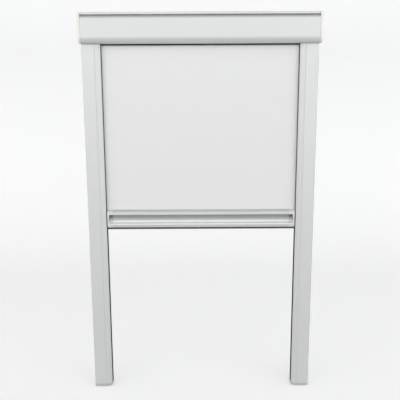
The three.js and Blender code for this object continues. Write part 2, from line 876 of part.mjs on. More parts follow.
// A soft lip under the whole bar, held by a headed stem in the slot of the profile.
function barSeal() {
  const lipFace = -clearance;
  const headFrom = barWall + clearance;
  const lip = outlineOf([
    [sealBack, -sealDrop],
    [sealFront - clearance, -sealDrop],
    [sealFront, lipFace],
    [sealBack, lipFace],
  ]);
  const stem = outlineOf([
    [hookForward - sealStem / 2, lipFace - clearance],
    [hookForward + sealStem / 2, lipFace - clearance],
    [hookForward + sealStem / 2, headFrom],
    [hookForward + sealHeadWidth / 2, headFrom],
    [hookForward + sealHeadWidth / 2, headFrom + sealHead],
    [hookForward - sealHeadWidth / 2, headFrom + sealHead],
    [hookForward - sealHeadWidth / 2, headFrom],
    [hookForward - sealStem / 2, headFrom],
  ]);
  const stemEndX = barProfileEnd - barCapLength;
  return join(alongX(lip, -barEnd, barEnd, barBottom), alongX(stem, -stemEndX, stemEndX, barBottom));
}

function fabricSpline() {
  const end = barProfileEnd - clearance;
  return rod(splineRadius, -end, end, fabricPlane, barBottom + splineRise);
}

function fabricSheet() {
  return block(
    [-fabricHalf, fabricHalf],
    [fabricPlane - fabricThickness / 2, fabricPlane + fabricThickness / 2],
    [barBottom + splineRise + splineBore, rollAxis.z],
  );
}

// The whole blind

const bearingBore = rod(
  bearingOuter + clearance,
  bossMouth - overrun,
  capInner,
  rollForward,
  rollAxis.z,
);
const tangSlot = block(
  [bossMouth - overrun, capInner],
  [rollForward - tangThickness / 2 - clearance, rollForward + tangThickness / 2 + clearance],
  [rollAxis.z - tangHeight / 2 - clearance, rollAxis.z + tangHeight / 2 + clearance],
);

place("headbox_back", headboxBack(), "anodised");
place("headbox_cover", headboxCover(), "anodised");
place("headbox_seal", headboxSeal(), "pile");
place("headbox_end_cap_right", headboxEndCap(tangSlot), "cream");
place("headbox_end_cap_left", headboxEndCap(bearingBore), "cream", true);
screwPorts.forEach((rise, index) => placePair(`end_cap_screw_${index + 1}`, capScrew(rise), "steel"));

place("roller_tube", rollerTube(), "mill");
place("fabric_roll", fabricRoll(), "cloth");
place("tube_end_plug", tubeEndPlug(), "white");
place("idle_plug", idlePlug(), "white", true);
place("idle_pin", idlePin(), "steel", true);
place("idle_bearing", idleBearing(), "white", true);
place("spring_shaft", springShaft(), "steel");
place("spring_anchor", springAnchor(), "white");
place("spring_plug", springPlug(), "white");
place("torsion_spring", torsionSpring(), "steel");

placePair("rail_base", railBase(), "anodised");
placePair("rail_cover", railCover(), "anodised");
placePair("rail_foot", railFoot(), "paleGrey");
placePair("rail_connector", railConnector(), "white");
placePair("connector_screw", connectorScrew(), "steel");
placePair("rail_seal_back", railSeal(exitBack + clearance), "pile");
placePair("rail_seal_front", railSeal(exitFront - clearance - pileHeight), "pile");

place("bar_profile", barProfile(), "anodised");
placePair("bar_end_cap", barEndCap(), "paleGrey");
place("bar_seal", barSeal(), "rubber");
place("fabric_spline", fabricSpline(), "white");
place("fabric_sheet", fabricSheet(), "cloth");
placePair("bar_glide", barGlide(), "white");
placePair("brake_pad", brakePad(), "felt");
placePair("brake_spring", brakeSpring(), "steel");
placePair("brake_stop", brakeStop(), "white");

export default blind;
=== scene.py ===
# %% [markdown]
# # A roller blind for a roof window
# The blind is an aluminium headbox with a spring roller, two side rails, a white blackout cloth
# and a hand bar that slides in the rails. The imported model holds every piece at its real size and
# on the body that moves it. Here each surface gets its finish, and the pieces that show get a
# finer skin. Everything stays in metres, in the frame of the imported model: +Z up, and -Y towards
# the room.

# %% Load the frame
import json
import math

import bmesh
import bpy
import numpy as np
from mathutils import Matrix, Vector
from mathutils.geometry import tessellate_polygon


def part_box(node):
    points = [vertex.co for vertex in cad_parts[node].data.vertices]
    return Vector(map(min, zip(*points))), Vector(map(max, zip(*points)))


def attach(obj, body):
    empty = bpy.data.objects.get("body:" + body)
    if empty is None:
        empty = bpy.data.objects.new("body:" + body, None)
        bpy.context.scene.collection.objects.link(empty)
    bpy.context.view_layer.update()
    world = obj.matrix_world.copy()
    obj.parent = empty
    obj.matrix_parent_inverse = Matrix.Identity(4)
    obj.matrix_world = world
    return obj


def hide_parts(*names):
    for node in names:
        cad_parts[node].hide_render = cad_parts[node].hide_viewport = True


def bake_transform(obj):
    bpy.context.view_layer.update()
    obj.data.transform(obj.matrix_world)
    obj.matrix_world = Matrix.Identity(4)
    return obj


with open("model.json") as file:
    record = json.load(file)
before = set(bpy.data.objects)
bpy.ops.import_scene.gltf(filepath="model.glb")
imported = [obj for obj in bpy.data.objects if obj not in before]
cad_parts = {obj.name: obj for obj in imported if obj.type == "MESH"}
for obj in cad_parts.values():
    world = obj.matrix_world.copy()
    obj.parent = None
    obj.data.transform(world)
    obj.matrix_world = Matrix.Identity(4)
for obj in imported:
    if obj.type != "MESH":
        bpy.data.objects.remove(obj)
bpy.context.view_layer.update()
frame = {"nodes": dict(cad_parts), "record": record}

MM = 0.001

# %% [markdown]
# ## The camera
# A camera that looks slightly down keeps the verticals drawing together towards the floor, which
# shows how tall the blind is. It stands a little below the headbox, a metre and a third away, and
# is tilted down and turned a quarter of a degree round its own axis.

# %% Camera
CAMERA_PLACE = (-0.0019, -1.3322, 0.7268)
CAMERA_DIP = math.radians(12.437)
CAMERA_ROLL = math.radians(-0.262)
LENS, SENSOR = 57.6, 36


def added(name, data):
    """A new object with this data, put into the scene."""
    made = bpy.data.objects.new(name, data)
    bpy.context.scene.collection.objects.link(made)
    return made


camera = added("camera", bpy.data.cameras.new("camera"))
camera.data.lens = LENS
camera.data.sensor_width = SENSOR
camera.matrix_world = (
    Matrix.Translation(CAMERA_PLACE)
    @ Matrix.Rotation(math.pi / 2 - CAMERA_DIP, 4, "X")
    @ Matrix.Rotation(CAMERA_ROLL, 4, "Z")
)
bpy.context.scene.camera = camera
bpy.context.scene.view_settings.view_transform = "Standard"
print("camera", CAMERA_PLACE, "lens", LENS, "mm")

# %% [markdown]
# ## Meshes as arrays
# Most of this product is extruded: one profile, pushed through a die, cut to length. So most
# pieces here are made the same way, as a closed outline that is carried along a line. The others
# are sheets and round parts, which are grids of points. Both are worked out as whole arrays, which
# is quick and keeps the formula in sight. These helpers turn such arrays into objects.

# %% Meshes from arrays
SHARP_ABOVE = math.radians(50)


def unit(vectors):
    """Each vector divided by its own length."""
    return vectors / np.linalg.norm(vectors, axis=-1, keepdims=True)


def mesh_piece(name, points, faces, flat_faces=0):
    """An object from points and faces. The last flat_faces are shaded flat, the others smooth."""
    mesh = bpy.data.meshes.new(name)
    mesh.from_pydata(points.reshape(-1, 3).tolist(), [], faces)
    smooth = np.arange(len(faces)) < len(faces) - flat_faces
    mesh.polygons.foreach_set("use_smooth", smooth)
    return added(name, mesh)


def even_normals(piece):
    """Normals that follow the large faces, so that walls shade flat between their round edges."""
    piece.modifiers.new("even_shading", "WEIGHTED_NORMAL").keep_sharp = True


def turn_outwards(piece):
    """Turns all faces of a closed mesh the same way, and flips them if its volume is negative."""
    made = bmesh.new()
    made.from_mesh(piece.data)
    bmesh.ops.recalc_face_normals(made, faces=made.faces)
    if made.calc_volume(signed=True) < 0:
        bmesh.ops.reverse_faces(made, faces=made.faces)
    made.to_mesh(piece.data)
    made.free()


def merged(name, *parts):
    """One object with the meshes of several, shaded evenly."""
    made = bmesh.new()
    for part in parts:
        made.from_mesh(part.data)
        bpy.data.objects.remove(part)
    mesh = bpy.data.meshes.new(name)
    made.to_mesh(mesh)
    made.free()
    mesh.set_sharp_from_angle(angle=SHARP_ABOVE)
    piece = added(name, mesh)
    even_normals(piece)
    return piece


print("edges sharper than", round(math.degrees(SHARP_ABOVE)), "degrees stay sharp")

# %% [markdown]
# ## Outlines with round corners
# A die never cuts a truly sharp corner, so every corner here has a radius, if only a tenth of a
# millimetre. That thin round edge catches a line of light, and a model without it looks like
# paper. The corner's arc touches both of its sides, and its centre lies on the line that halves
# the corner. Seven radii, from the tightest that a die holds to a well rounded edge, serve most
# corners.

# %% Rounded outlines
TIGHT, CRISP, FINE, CORNER, MILD, BLUNT, ROUND = 0.1, 0.15, 0.2, 0.3, 0.4, 0.5, 0.6
CORNER_STEPS = 10
CIRCLE_STEPS = 64
SAME_POINT = 1e-5
TINY = 1e-12


def rounded_outline(corners):
    """A closed outline in millimetres from rows of (a, b, radius).
    Centre = corner + bisector x radius / sin(half angle). The arc starts radius / tan(half angle)
    before the corner and sweeps through 180 degrees less the corner's angle."""
    rows = np.array(corners, float)
    here, radius = rows[:, :2], rows[:, 2]
    to_before = unit(np.roll(here, 1, axis=0) - here)
    to_after = unit(np.roll(here, -1, axis=0) - here)
    half = np.arccos(np.clip((to_before * to_after).sum(1), -1, 1)) / 2
    bisector = unit(to_before + to_after + TINY)
    centre = here + bisector * (radius / np.sin(half))[:, None]
    spoke = here + to_before * (radius / np.tan(half))[:, None] - centre
    turn = np.sign(to_after[:, 0] * to_before[:, 1] - to_after[:, 1] * to_before[:, 0])
    angle = (turn * (math.pi - 2 * half))[:, None] * np.linspace(0, 1, CORNER_STEPS)
    x = centre[:, :1] + spoke[:, :1] * np.cos(angle) - spoke[:, 1:] * np.sin(angle)
    y = centre[:, 1:] + spoke[:, :1] * np.sin(angle) + spoke[:, 1:] * np.cos(angle)
    outline = np.stack([x, y], axis=-1).reshape(-1, 2)
    step = np.linalg.norm(outline - np.roll(outline, 1, axis=0), axis=1)
    return outline[step > SAME_POINT]


def box_outline(low, high, radius):
    """A rectangle between two corners, its own corners rounded."""
    (a0, b0), (a1, b1) = low, high
    return rounded_outline([(a, b, radius) for a, b in ((a0, b0), (a1, b0), (a1, b1), (a0, b1))])


def circle(a, b, radius, steps=CIRCLE_STEPS):
    """A round outline about (a, b)."""
    t = np.linspace(0, 2 * math.pi, steps, endpoint=False)
    return np.stack([a + radius * np.cos(t), b + radius * np.sin(t)], axis=1)


def outward(outline):
    """The outward normal at each point of a closed outline, whichever way round it runs."""
    along = unit(np.roll(outline, -1, axis=0) - np.roll(outline, 1, axis=0))
    after = np.roll(outline, -1, axis=0)
    area = (outline[:, 0] * after[:, 1] - outline[:, 1] * after[:, 0]).sum()
    return np.stack([along[:, 1], -along[:, 0]], axis=1) * np.sign(area)


print("a rounded corner has", CORNER_STEPS, "points")

# %% [markdown]
# ## Carrying an outline along a line
# The profile is repeated at a few stops. Near both ends the stops draw in by a small amount, on a
# quarter circle, so that the cut ends have a soft edge too. A hollow profile has more than one
# outline, and its end faces are filled between them.

# %% Carried profiles
EDGE_STEPS = 4
NEAR_END = slice(0, EDGE_STEPS + 1)
FAR_END = slice(-EDGE_STEPS - 1, None)


def soft_ends(start, end, edge):
    """Stops and insets in millimetres. At angle t, a stop lies edge x (1 - cos t) past the end,
    and the outline is drawn in by edge x (1 - sin t)."""
    t = np.linspace(0, math.pi / 2, EDGE_STEPS + 1)
    near = start + edge * (1 - np.cos(t))
    inset = edge * (1 - np.sin(t))
    return np.concatenate([near, (start + end - near)[::-1]]), np.concatenate([inset, inset[::-1]])


def ring_walls(rings, ahead):
    """Four-sided faces between rings of points, where ahead holds the next point of each point."""
    here, count = np.arange(len(ahead)), len(ahead)
    base = (np.arange(rings - 1) * count)[:, None]
    corners = [base + here, base + ahead, base + count + ahead, base + count + here]
    return np.stack(corners, axis=-1).reshape(-1, 4).tolist()


def carried(name, outlines, stops, insets, place):
    """A closed solid: point (i, j) is outline point j less inset x its normal, at stops[i]. The
    insets are one for each stop, or a column of them for each outline. In a hollow the normal
    points into the hollow, so an inset widens it.
    place turns arrays of (a, b, along), in millimetres, into x, y and z in metres."""
    normals = [outward(o) * (1 if k == 0 else -1) for k, o in enumerate(outlines)]
    counts = [len(o) for o in outlines]
    columns = insets.reshape(len(stops), -1) * np.ones(len(outlines))
    inset = np.repeat(columns, counts, axis=1)[..., None]
    a, b = np.moveaxis(np.concatenate(outlines) - inset * np.concatenate(normals), -1, 0)
    points = np.stack(place(a, b, np.broadcast_to(stops[:, None], a.shape)), axis=-1)
    first = np.cumsum([0] + counts)
    ahead = np.concatenate([f + np.roll(np.arange(n), -1) for f, n in zip(first, counts)])
    faces = ring_walls(len(stops), ahead)
    walls = len(faces)
    for k in (0, len(stops) - 1):
        end = np.stack([a[k], b[k], 0 * a[k]], axis=1)
        rings = [[Vector(p) for p in end[f:f + n]] for f, n in zip(first, counts)]
        faces += (np.array(tessellate_polygon(rings)) + k * len(ahead)).tolist()
    piece = mesh_piece(name, points, faces, flat_faces=len(faces) - walls)
    turn_outwards(piece)
    piece.data.set_sharp_from_angle(angle=SHARP_ABOVE)
    even_normals(piece)
    return piece


def extruded(name, outlines, start, end, edge, place, near_share=1.0):
    """Outlines carried from start to end, with soft ends. near_share scales the first inset."""
    stops, insets = soft_ends(start, end, edge)
    insets[NEAR_END] *= near_share
    return carried(name, outlines, stops, insets, place)


print("a soft end has", EDGE_STEPS + 1, "stops")

# %% [markdown]
# ## Where a section lies
# A section is drawn flat, in millimetres from a back or an edge, because that is how a drawing of
# a profile is read. A place function then lays it into the frame: across the window for the
# headbox and the bar, upright for the rails. The left side is the right one with its X turned
# round.

# %% Places
SIDES = {"right": 1, "left": -1}
back_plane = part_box("headbox_back")[1].y
headbox_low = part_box("headbox_cover")[0].z


def across(rise, side=1):
    """Places a section in (forward of the back plane, up from rise) that runs along X, or along
    -X where side is -1."""
    return lambda a, b, along: (side * along * MM, back_plane - a * MM, rise + b * MM)


def upright(inner_edge, side):
    """Places a section in (out from a rail's inner edge, forward) that runs along Z."""
    return lambda a, b, along: (side * (inner_edge + a) * MM, back_plane - b * MM, along * MM)


print("back plane at", round(back_plane / MM, 2), "mm")

# %% [markdown]
# ## Building materials from nodes
# Blender draws node trees by hand, but a script can build them in a few lines. `wire` fills
# sockets with links or values, and `node` adds one node, sets it up and wires its inputs. The
# others are the few nodes that every finish here is made of.

# %% Node helpers
NOISE_LOW, NOISE_HIGH = 0.3, 0.7


def wire(tree, sockets, values):
    """Fills sockets, found by name or number. A socket is linked, anything else is their value."""
    for key, value in values.items():
        if isinstance(value, bpy.types.NodeSocket):
            tree.links.new(value, sockets[key])
        else:
            sockets[key].default_value = value


def node(tree, kind, inputs, **settings):
    """Adds a node with its settings and inputs."""
    made = tree.nodes.new(kind)
    for key, value in settings.items():
        setattr(made, key, value)
    wire(tree, made.inputs, inputs)
    return made


def math_node(tree, operation, *values):
    """The result of one sum, such as MULTIPLY or SINE, on one or two values."""
    return node(tree, "ShaderNodeMath", dict(enumerate(values)), operation=operation).outputs[0]


def product(tree, result, *others):
    """Several values multiplied with each other."""
    for value in others:
        result = math_node(tree, "MULTIPLY", result, value)
    return result


def blend_colours(tree, share, first, second):
    """A colour between two, by share."""
    made = node(tree, "ShaderNodeMix", {0: share, 6: first, 7: second}, data_type="RGBA")
    return made.outputs[2]


def ranged(tree, value, low, high, to_low, to_high):
    """value, moved from the range low to high into the range to_low to to_high."""
    spread = {0: value, 1: low, 2: high, 3: to_low, 4: to_high}
    return node(tree, "ShaderNodeMapRange", spread).outputs[0]


def parts_of(tree, vector):
    """The X, Y and Z of a vector."""
    return node(tree, "ShaderNodeSeparateXYZ", {0: vector}).outputs


def stretched(tree, vector, stretch):
    """A vector, multiplied axis by axis."""
    made = node(tree, "ShaderNodeVectorMath", {0: vector, 1: stretch}, operation="MULTIPLY")
    return made.outputs[0]


def noise(tree, vector, scale, detail, roughness=0.5):
    """A soft noise between 0 and 1."""
    inputs = {"Vector": vector, "Scale": scale, "Detail": detail, "Roughness": roughness}
    return node(tree, "ShaderNodeTexNoise", inputs).outputs["Fac"]


def noise_between(tree, pattern, low, high):
    """A noise, which lies mostly between NOISE_LOW and NOISE_HIGH, moved to low to high."""
    return ranged(tree, pattern, NOISE_LOW, NOISE_HIGH, low, high)


def relief(tree, height, strength, depth):
    """The normal of a bump whose full height is depth, in metres."""
    inputs = {"Strength": strength, "Distance": depth, "Height": height}
    return node(tree, "ShaderNodeBump", inputs).outputs[0]


print("node helpers ready, a noise lies between", NOISE_LOW, "and", NOISE_HIGH)

# %% [markdown]
# ## Effects and materials
# `effect` starts a group, a small machine with named inputs that several materials can use with
# their own values, and `gives` names what comes out of it. `use` places it in a material.

# %% Effects and materials
ORIGIN = (0.0, 0.0, 0.0)


def effect(name, **inputs):
    """A node group with these inputs, where a tuple is a vector, and their sockets inside it."""
    group = bpy.data.node_groups.new(name, "ShaderNodeTree")
    for label, value in inputs.items():
        kind = "NodeSocketVector" if isinstance(value, tuple) else "NodeSocketFloat"
        socket = group.interface.new_socket(label, in_out="INPUT", socket_type=kind)
        socket.default_value = value
    return group, group.nodes.new("NodeGroupInput").outputs


def gives(group, **outputs):
    """Names a group's outputs and wires what each one puts out."""
    for label in outputs:
        group.interface.new_socket(label, in_out="OUTPUT", socket_type="NodeSocketFloat")
    wire(group, group.nodes.new("NodeGroupOutput").inputs, outputs)
    print("effect", group.name, "gives", *outputs)


def use(tree, group, **inputs):
    """The outputs of an effect that is placed in a material."""
    return node(tree, "ShaderNodeGroup", inputs, node_tree=group).outputs


def material(name):
    """A new material, its tree, the inputs of its Principled shader, and Object coordinates."""
    made = bpy.data.materials.new(name)
    made.use_nodes = True
    tree = made.node_tree
    shader = tree.nodes["Principled BSDF"].inputs
    return made, tree, shader, node(tree, "ShaderNodeTexCoord", {}).outputs["Object"]


print("ready for the first effect")

# %% [markdown]
# ## Drawn lines on extruded metal
# A profile that has been pushed through a die carries very fine straight lines along its length.
# They are long and thin, so one noise texture is stretched: it is squeezed hard across the lines
# and hardly at all along them. A second, large and soft noise gives the slight clouds that
# anodising leaves.

# %% Effect: drawn lines
CLOUD_SCALE = 9.0

drawn_lines, given = effect("drawn_lines", Vector=ORIGIN, Stretch=(1.0, 1.0, 1.0))
line_place = stretched(drawn_lines, given["Vector"], given["Stretch"])
gives(
    drawn_lines,
    Lines=noise(drawn_lines, line_place, scale=1.0, detail=3.0, roughness=0.6),
    Clouds=noise(drawn_lines, given["Vector"], CLOUD_SCALE, detail=2.0),
)

# %% [markdown]
# ## Fine grain on moulded plastic
# Moulds are spark eroded, so plastic covers have a fine even grain instead of a mirror finish. Two
# noises of different size give a grain for the bump and a coarse, soft shade for the colour, so it
# doesn't look like one repeated pattern.

# %% Effect: moulded grain
MOULD_GRAIN = 1400.0
COARSER = 0.02

moulded_grain, given = effect("moulded_grain", Vector=ORIGIN, Grain=MOULD_GRAIN)
coarse_grain = math_node(moulded_grain, "MULTIPLY", given["Grain"], COARSER)
gives(
    moulded_grain,
    Height=noise(moulded_grain, given["Vector"], given["Grain"], detail=2.0),
    Shade=noise(moulded_grain, given["Vector"], coarse_grain, detail=3.0),
)

# %% [markdown]
# ## Plain weave
# In a plain weave each thread goes over one and under the next. Seen as heights, the warp is a row
# of round ridges that rise and dip once in two threads, and the weft is the same turned by a
# quarter. The higher of the two is on top. Soft noise makes some threads a little thicker than
# others.

# %% Effect: plain weave
THREADS = 1900.0
SLUB_STRETCH = (60.0, 60.0, 700.0)

plain_weave, given = effect("plain_weave", Vector=ORIGIN, Threads=THREADS)
on_cloth = parts_of(plain_weave, given["Vector"])
turns = math_node(plain_weave, "MULTIPLY", given["Threads"], math.pi)
warp_wave, weft_wave = (
    math_node(plain_weave, "SINE", math_node(plain_weave, "MULTIPLY", on_cloth[axis], turns))
    for axis in "XZ"
)
warp_side, weft_side = (math_node(plain_weave, "SIGN", wave) for wave in (warp_wave, weft_wave))
over = ranged(plain_weave, product(plain_weave, warp_side, weft_side), -1.0, 1.0, 0.0, 1.0)
under = math_node(plain_weave, "SUBTRACT", 1.0, over)
warp, weft = (
    math_node(plain_weave, "MULTIPLY", math_node(plain_weave, "ABSOLUTE", wave), share)
    for wave, share in ((warp_wave, over), (weft_wave, under))
)
slub_place = stretched(plain_weave, given["Vector"], SLUB_STRETCH)
gives(
    plain_weave,
    Height=math_node(plain_weave, "ADD", warp, weft),
    Slubs=noise(plain_weave, slub_place, scale=1.0, detail=2.0, roughness=0.6),
)

# %% [markdown]
# ## Painted shade and highlight in the finger groove
# The hand bar's groove is painted darker under the upper lip, as painted shade where the lip
# keeps the light off, and is plain again where it runs out over the lower one. The effect is a
# mask by height and depth on the bar: full near the lip, nothing below, and a little cloudy. A
# second mask is the band below it, round the lower lip, which gets a painted highlight.

# %% Effect: painted groove shade and highlight
# Heights and depths in the frame, in metres.
GROOVE_LOW, GROOVE_HIGH = 0.3842, 0.3945
GROOVE_MIDDLE = GROOVE_LOW + (GROOVE_HIGH - GROOVE_LOW) / 2
LIP_LOW, LIP_HIGH, LIP_UNDERSIDE = 0.3785, 0.3805, 0.4007
GROOVE_EDGE, GROOVE_BACK = 0.0016, 0.0100
EDGE_BLEND = 0.0004
MOTTLE_SCALE, MOTTLE_LEAST = 60.0, 0.92

# Painted light in the bar's groove: a mask of painted shade under the upper lip and one of painted
# highlight round the lower lip.
groove_painted_light, given = effect("groove_painted_light", Vector=ORIGIN)
on_bar = parts_of(groove_painted_light, given["Vector"])


def band_edge(axis, start, end, to_low, to_high):
    """A mask that changes between start and end along one axis of the bar."""
    return ranged(groove_painted_light, on_bar[axis], start, end, to_low, to_high)


mottle = noise(groove_painted_light, given["Vector"], MOTTLE_SCALE, detail=3.0)
before_back = band_edge("Y", GROOVE_BACK, GROOVE_BACK + EDGE_BLEND, 1.0, 0.0)
# Painted shade: full under the upper lip, gone lower down, and a little cloudy.
painted_shade_mask = product(
    groove_painted_light,
    band_edge("Z", GROOVE_LOW, GROOVE_HIGH, 0.0, 1.0),
    band_edge("Z", LIP_UNDERSIDE, LIP_UNDERSIDE + EDGE_BLEND, 1.0, 0.0),
    band_edge("Y", GROOVE_EDGE, GROOVE_EDGE + EDGE_BLEND, 0.0, 1.0),
    before_back,
    noise_between(groove_painted_light, mottle, MOTTLE_LEAST, 1.0),
)
# Painted highlight: a band round the lower lip, fading out towards the middle of the groove.
painted_highlight_mask = product(
    groove_painted_light,
    band_edge("Z", LIP_LOW, LIP_HIGH, 0.0, 1.0),
    band_edge("Z", GROOVE_LOW, GROOVE_MIDDLE, 1.0, 0.0),
    before_back,
)
gives(groove_painted_light, Mask=painted_shade_mask, Rubbed=painted_highlight_mask)

# %% [markdown]
# ## Anodised aluminium
# Natural anodising leaves aluminium pale, even and satin: bright where it mirrors a light, but
# never sharp. The lines run along the profile, so there is one material for what lies across the
# window and one for what stands upright. A third is for the bar, with painted shade and a painted
# highlight in its groove. They share the effects and differ only in the stretch and the groove.

# %% Material: anodised aluminium
ANODISED_PALE = (0.622, 0.626, 0.628, 1)
ANODISED_DEEP = (0.592, 0.597, 0.601, 1)
ANODISED_METAL = 0.50
ANODISED_ROUGH = (0.46, 0.54)
LINES_ACROSS, LINES_ALONG = 1500.0, 6.0
LINE_DEPTH, LINE_STRENGTH = 0.00002, 0.35
# The next two tones are painted light in the bar's groove: a dark painted shade under the upper lip
# and a pale painted highlight round the lower lip.
METAL_PAINTED_SHADE = (0.31, 0.313, 0.317, 1)
METAL_PAINTED_HIGHLIGHT = (0.86, 0.865, 0.87, 1)


def with_painted_groove(tree, coordinates, tone, painted_groove, highlight_tone):
    """tone, with painted shade in the groove under the upper lip and a painted highlight round the
    lower lip.
    """
    groove = use(tree, groove_painted_light, Vector=coordinates)
    highlighted = blend_colours(tree, groove["Rubbed"], tone, highlight_tone)
    return blend_colours(tree, groove["Mask"], highlighted, painted_groove)


def anodised(name, stretch, *painted_groove):
    """Satin aluminium whose drawn lines are long in the direction where stretch is small."""
    made, tree, shader, coordinates = material(name)
    drawn = use(tree, drawn_lines, Vector=coordinates, Stretch=stretch)
    tone = blend_colours(tree, drawn["Clouds"], ANODISED_DEEP, ANODISED_PALE)
    wire(tree, shader, {
        "Base Color": with_painted_groove(tree, coordinates, tone, *painted_groove) if painted_groove else tone,
        "Roughness": noise_between(tree, drawn["Lines"], *ANODISED_ROUGH),
        "Metallic": ANODISED_METAL,
        "Normal": relief(tree, drawn["Lines"], LINE_STRENGTH, LINE_DEPTH),
    })
    return made


CROSSWISE = (LINES_ALONG, LINES_ACROSS, LINES_ACROSS)
anodised_across = anodised("anodised_across", CROSSWISE)
anodised_upright = anodised("anodised_upright", CROSSWISE[::-1])
# The bar's material carries painted shade and a painted highlight in its groove.
anodised_bar = anodised("anodised_bar", CROSSWISE, METAL_PAINTED_SHADE, METAL_PAINTED_HIGHLIGHT)
print("materials", anodised_across.name, anodised_upright.name, anodised_bar.name)

# %% [markdown]
# ## Moulded plastics
# The end caps are a warm white plastic, the feet a pale grey one and the ends of the bar a paler
# one, with painted shade in the groove. The hidden bushes and plugs are a plain natural white. All
# have the same grain, at different depths. Each pair of tones below is the pale and the deep one
# of a plastic.

# %% Material: plastics
CREAM = (0.83, 0.83, 0.765, 1), (0.79, 0.79, 0.725, 1)
GREY = (0.53, 0.533, 0.51, 1), (0.49, 0.493, 0.47, 1)
BAR_END = (0.72, 0.722, 0.715, 1), (0.68, 0.682, 0.675, 1)
NATURAL = (0.80, 0.80, 0.78, 1), (0.74, 0.74, 0.72, 1)
# A dark tone, painted into the groove of the bar's ends as painted shade.
PLASTIC_PAINTED_SHADE = (0.125, 0.127, 0.125, 1)
MOULD = (MOULD_GRAIN, 0.00004, 0.42)
NATURAL_MOULD = (900.0, 0.00003, 0.38)
ROUGH_SPREAD = 0.05
GRAIN_STRENGTH = 0.4


def moulded(name, tones, mould, *painted_groove):
    """Plastic with a spark-eroded grain. mould is its scale, its depth and the mean roughness."""
    made, tree, shader, coordinates = material(name)
    grain, depth, rough = mould
    grains = use(tree, moulded_grain, Vector=coordinates, Grain=grain)
    tone = blend_colours(tree, grains["Shade"], *tones[::-1])
    rough_range = rough - ROUGH_SPREAD, rough + ROUGH_SPREAD
    wire(tree, shader, {
        "Base Color": with_painted_groove(tree, coordinates, tone, *painted_groove) if painted_groove else tone,
        "Roughness": noise_between(tree, grains["Height"], *rough_range),
        "Normal": relief(tree, grains["Height"], GRAIN_STRENGTH, depth),
    })
    return made


cream_plastic = moulded("cream_plastic", CREAM, MOULD)
grey_plastic = moulded("grey_plastic", GREY, MOULD)
# The ends of the bar get painted shade in their groove. Their highlight tone is their own pale
# tone, so they get no painted highlight.
bar_end_plastic = moulded("bar_end_plastic", BAR_END, MOULD, PLASTIC_PAINTED_SHADE, BAR_END[0])
natural_plastic = moulded("natural_plastic", NATURAL, NATURAL_MOULD)
plastics = (cream_plastic, grey_plastic, bar_end_plastic, natural_plastic)
print("materials", *(plastic.name for plastic in plastics))

# %% [markdown]
# ## Cloth, pile, felt and rubber
# The blackout cloth is white towards the room. Its outer face carries a thin metal coating that
# sends the sun back. Pile and felt are fibres that stand up and scatter light, and the felt needs
# a sheen. The pile at the cloth's exit has grey tips, painted shade for the soft shade under
# the headbox. The seal under the bar is plain black rubber that has gone slightly grey.

# %% Material: cloth and soft parts
CLOTH = (0.80, 0.80, 0.797, 1), (0.775, 0.775, 0.775, 1)
COATING = (0.72, 0.73, 0.74, 1), (0.64, 0.65, 0.66, 1)
CLOTH_ROUGH, COATING_ROUGH, COATING_METAL = 0.85, 0.45, 0.7
THREAD_DEPTH, THREAD_STRENGTH = 0.00008, 0.5
PILE = (0.026, 0.028, 0.030, 1), (0.012, 0.013, 0.014, 1)
# The grey tips of the exit pile are painted shade, for the soft shade under the headbox.
PILE_PAINTED_SHADE_TIPS = (0.47, 0.475, 0.48, 1)
FELT = (0.09, 0.095, 0.10, 1), (0.05, 0.052, 0.055, 1)
RUBBER = (0.085, 0.083, 0.082, 1), (0.06, 0.058, 0.058, 1)
PILE_GRAIN, FELT_GRAIN, RUBBER_GRAIN = 3000.0, 1800.0, 500.0
FIBRE_ROUGH, RUBBER_ROUGH, FELT_SHEEN = 0.95, 0.6, 0.5
FIBRE_SHINE, FIBRE_DEPTH, FIBRE_STRENGTH = 0.25, 0.0002, 0.7
TIP_TOP, TIP_BLEND = 0.7540, 0.0010


def woven_cloth(name, tones, rough, metal, depth):
    """A woven sheet: the weave is the bump, and its slubs shade the colour."""
    made, tree, shader, coordinates = material(name)
    weave = use(tree, plain_weave, Vector=coordinates, Threads=THREADS)
    wire(tree, shader, {
        "Base Color": blend_colours(tree, weave["Slubs"], *tones[::-1]),
        "Roughness": rough,
        "Metallic": metal,
        "Normal": relief(tree, weave["Height"], THREAD_STRENGTH, depth),
    })
    return made


def fibres(name, tones, grain, rough=FIBRE_ROUGH, sheen=0.0, tips=None):
    """Short fibres or a dull rubber, by a noise that is both the shade and the bump. With tips,
    the fibres turn to that tone below TIP_TOP, over the last TIP_BLEND, as painted shade."""
    made, tree, shader, coordinates = material(name)
    grains = use(tree, moulded_grain, Vector=coordinates, Grain=grain)
    tone = blend_colours(tree, grains["Height"], *tones[::-1])
    if tips:
        height = parts_of(tree, coordinates)["Z"]
        at_tip = ranged(tree, height, TIP_TOP, TIP_TOP + TIP_BLEND, 1.0, 0.0)
        tone = blend_colours(tree, at_tip, tone, tips)
    wire(tree, shader, {
        "Base Color": tone,
        "Roughness": rough,
        "Specular IOR Level": FIBRE_SHINE,
        "Sheen Weight": sheen,
        "Normal": relief(tree, grains["Height"], FIBRE_STRENGTH, FIBRE_DEPTH),
    })
    return made


cloth_front = woven_cloth("blackout_cloth", CLOTH, CLOTH_ROUGH, 0.0, THREAD_DEPTH)
cloth_back = woven_cloth("metal_coating", COATING, COATING_ROUGH, COATING_METAL, THREAD_DEPTH / 2)
pile = fibres("brush_pile", PILE, PILE_GRAIN)
felt = fibres("brake_felt", FELT, FELT_GRAIN, sheen=FELT_SHEEN)
# The exit pile's grey tips are painted shade.
exit_pile = fibres("exit_pile", PILE, PILE_GRAIN, tips=PILE_PAINTED_SHADE_TIPS)
rubber = fibres("seal_rubber", RUBBER, RUBBER_GRAIN, RUBBER_ROUGH)
print("materials", cloth_front.name, cloth_back.name, pile.name, felt.name, rubber.name)

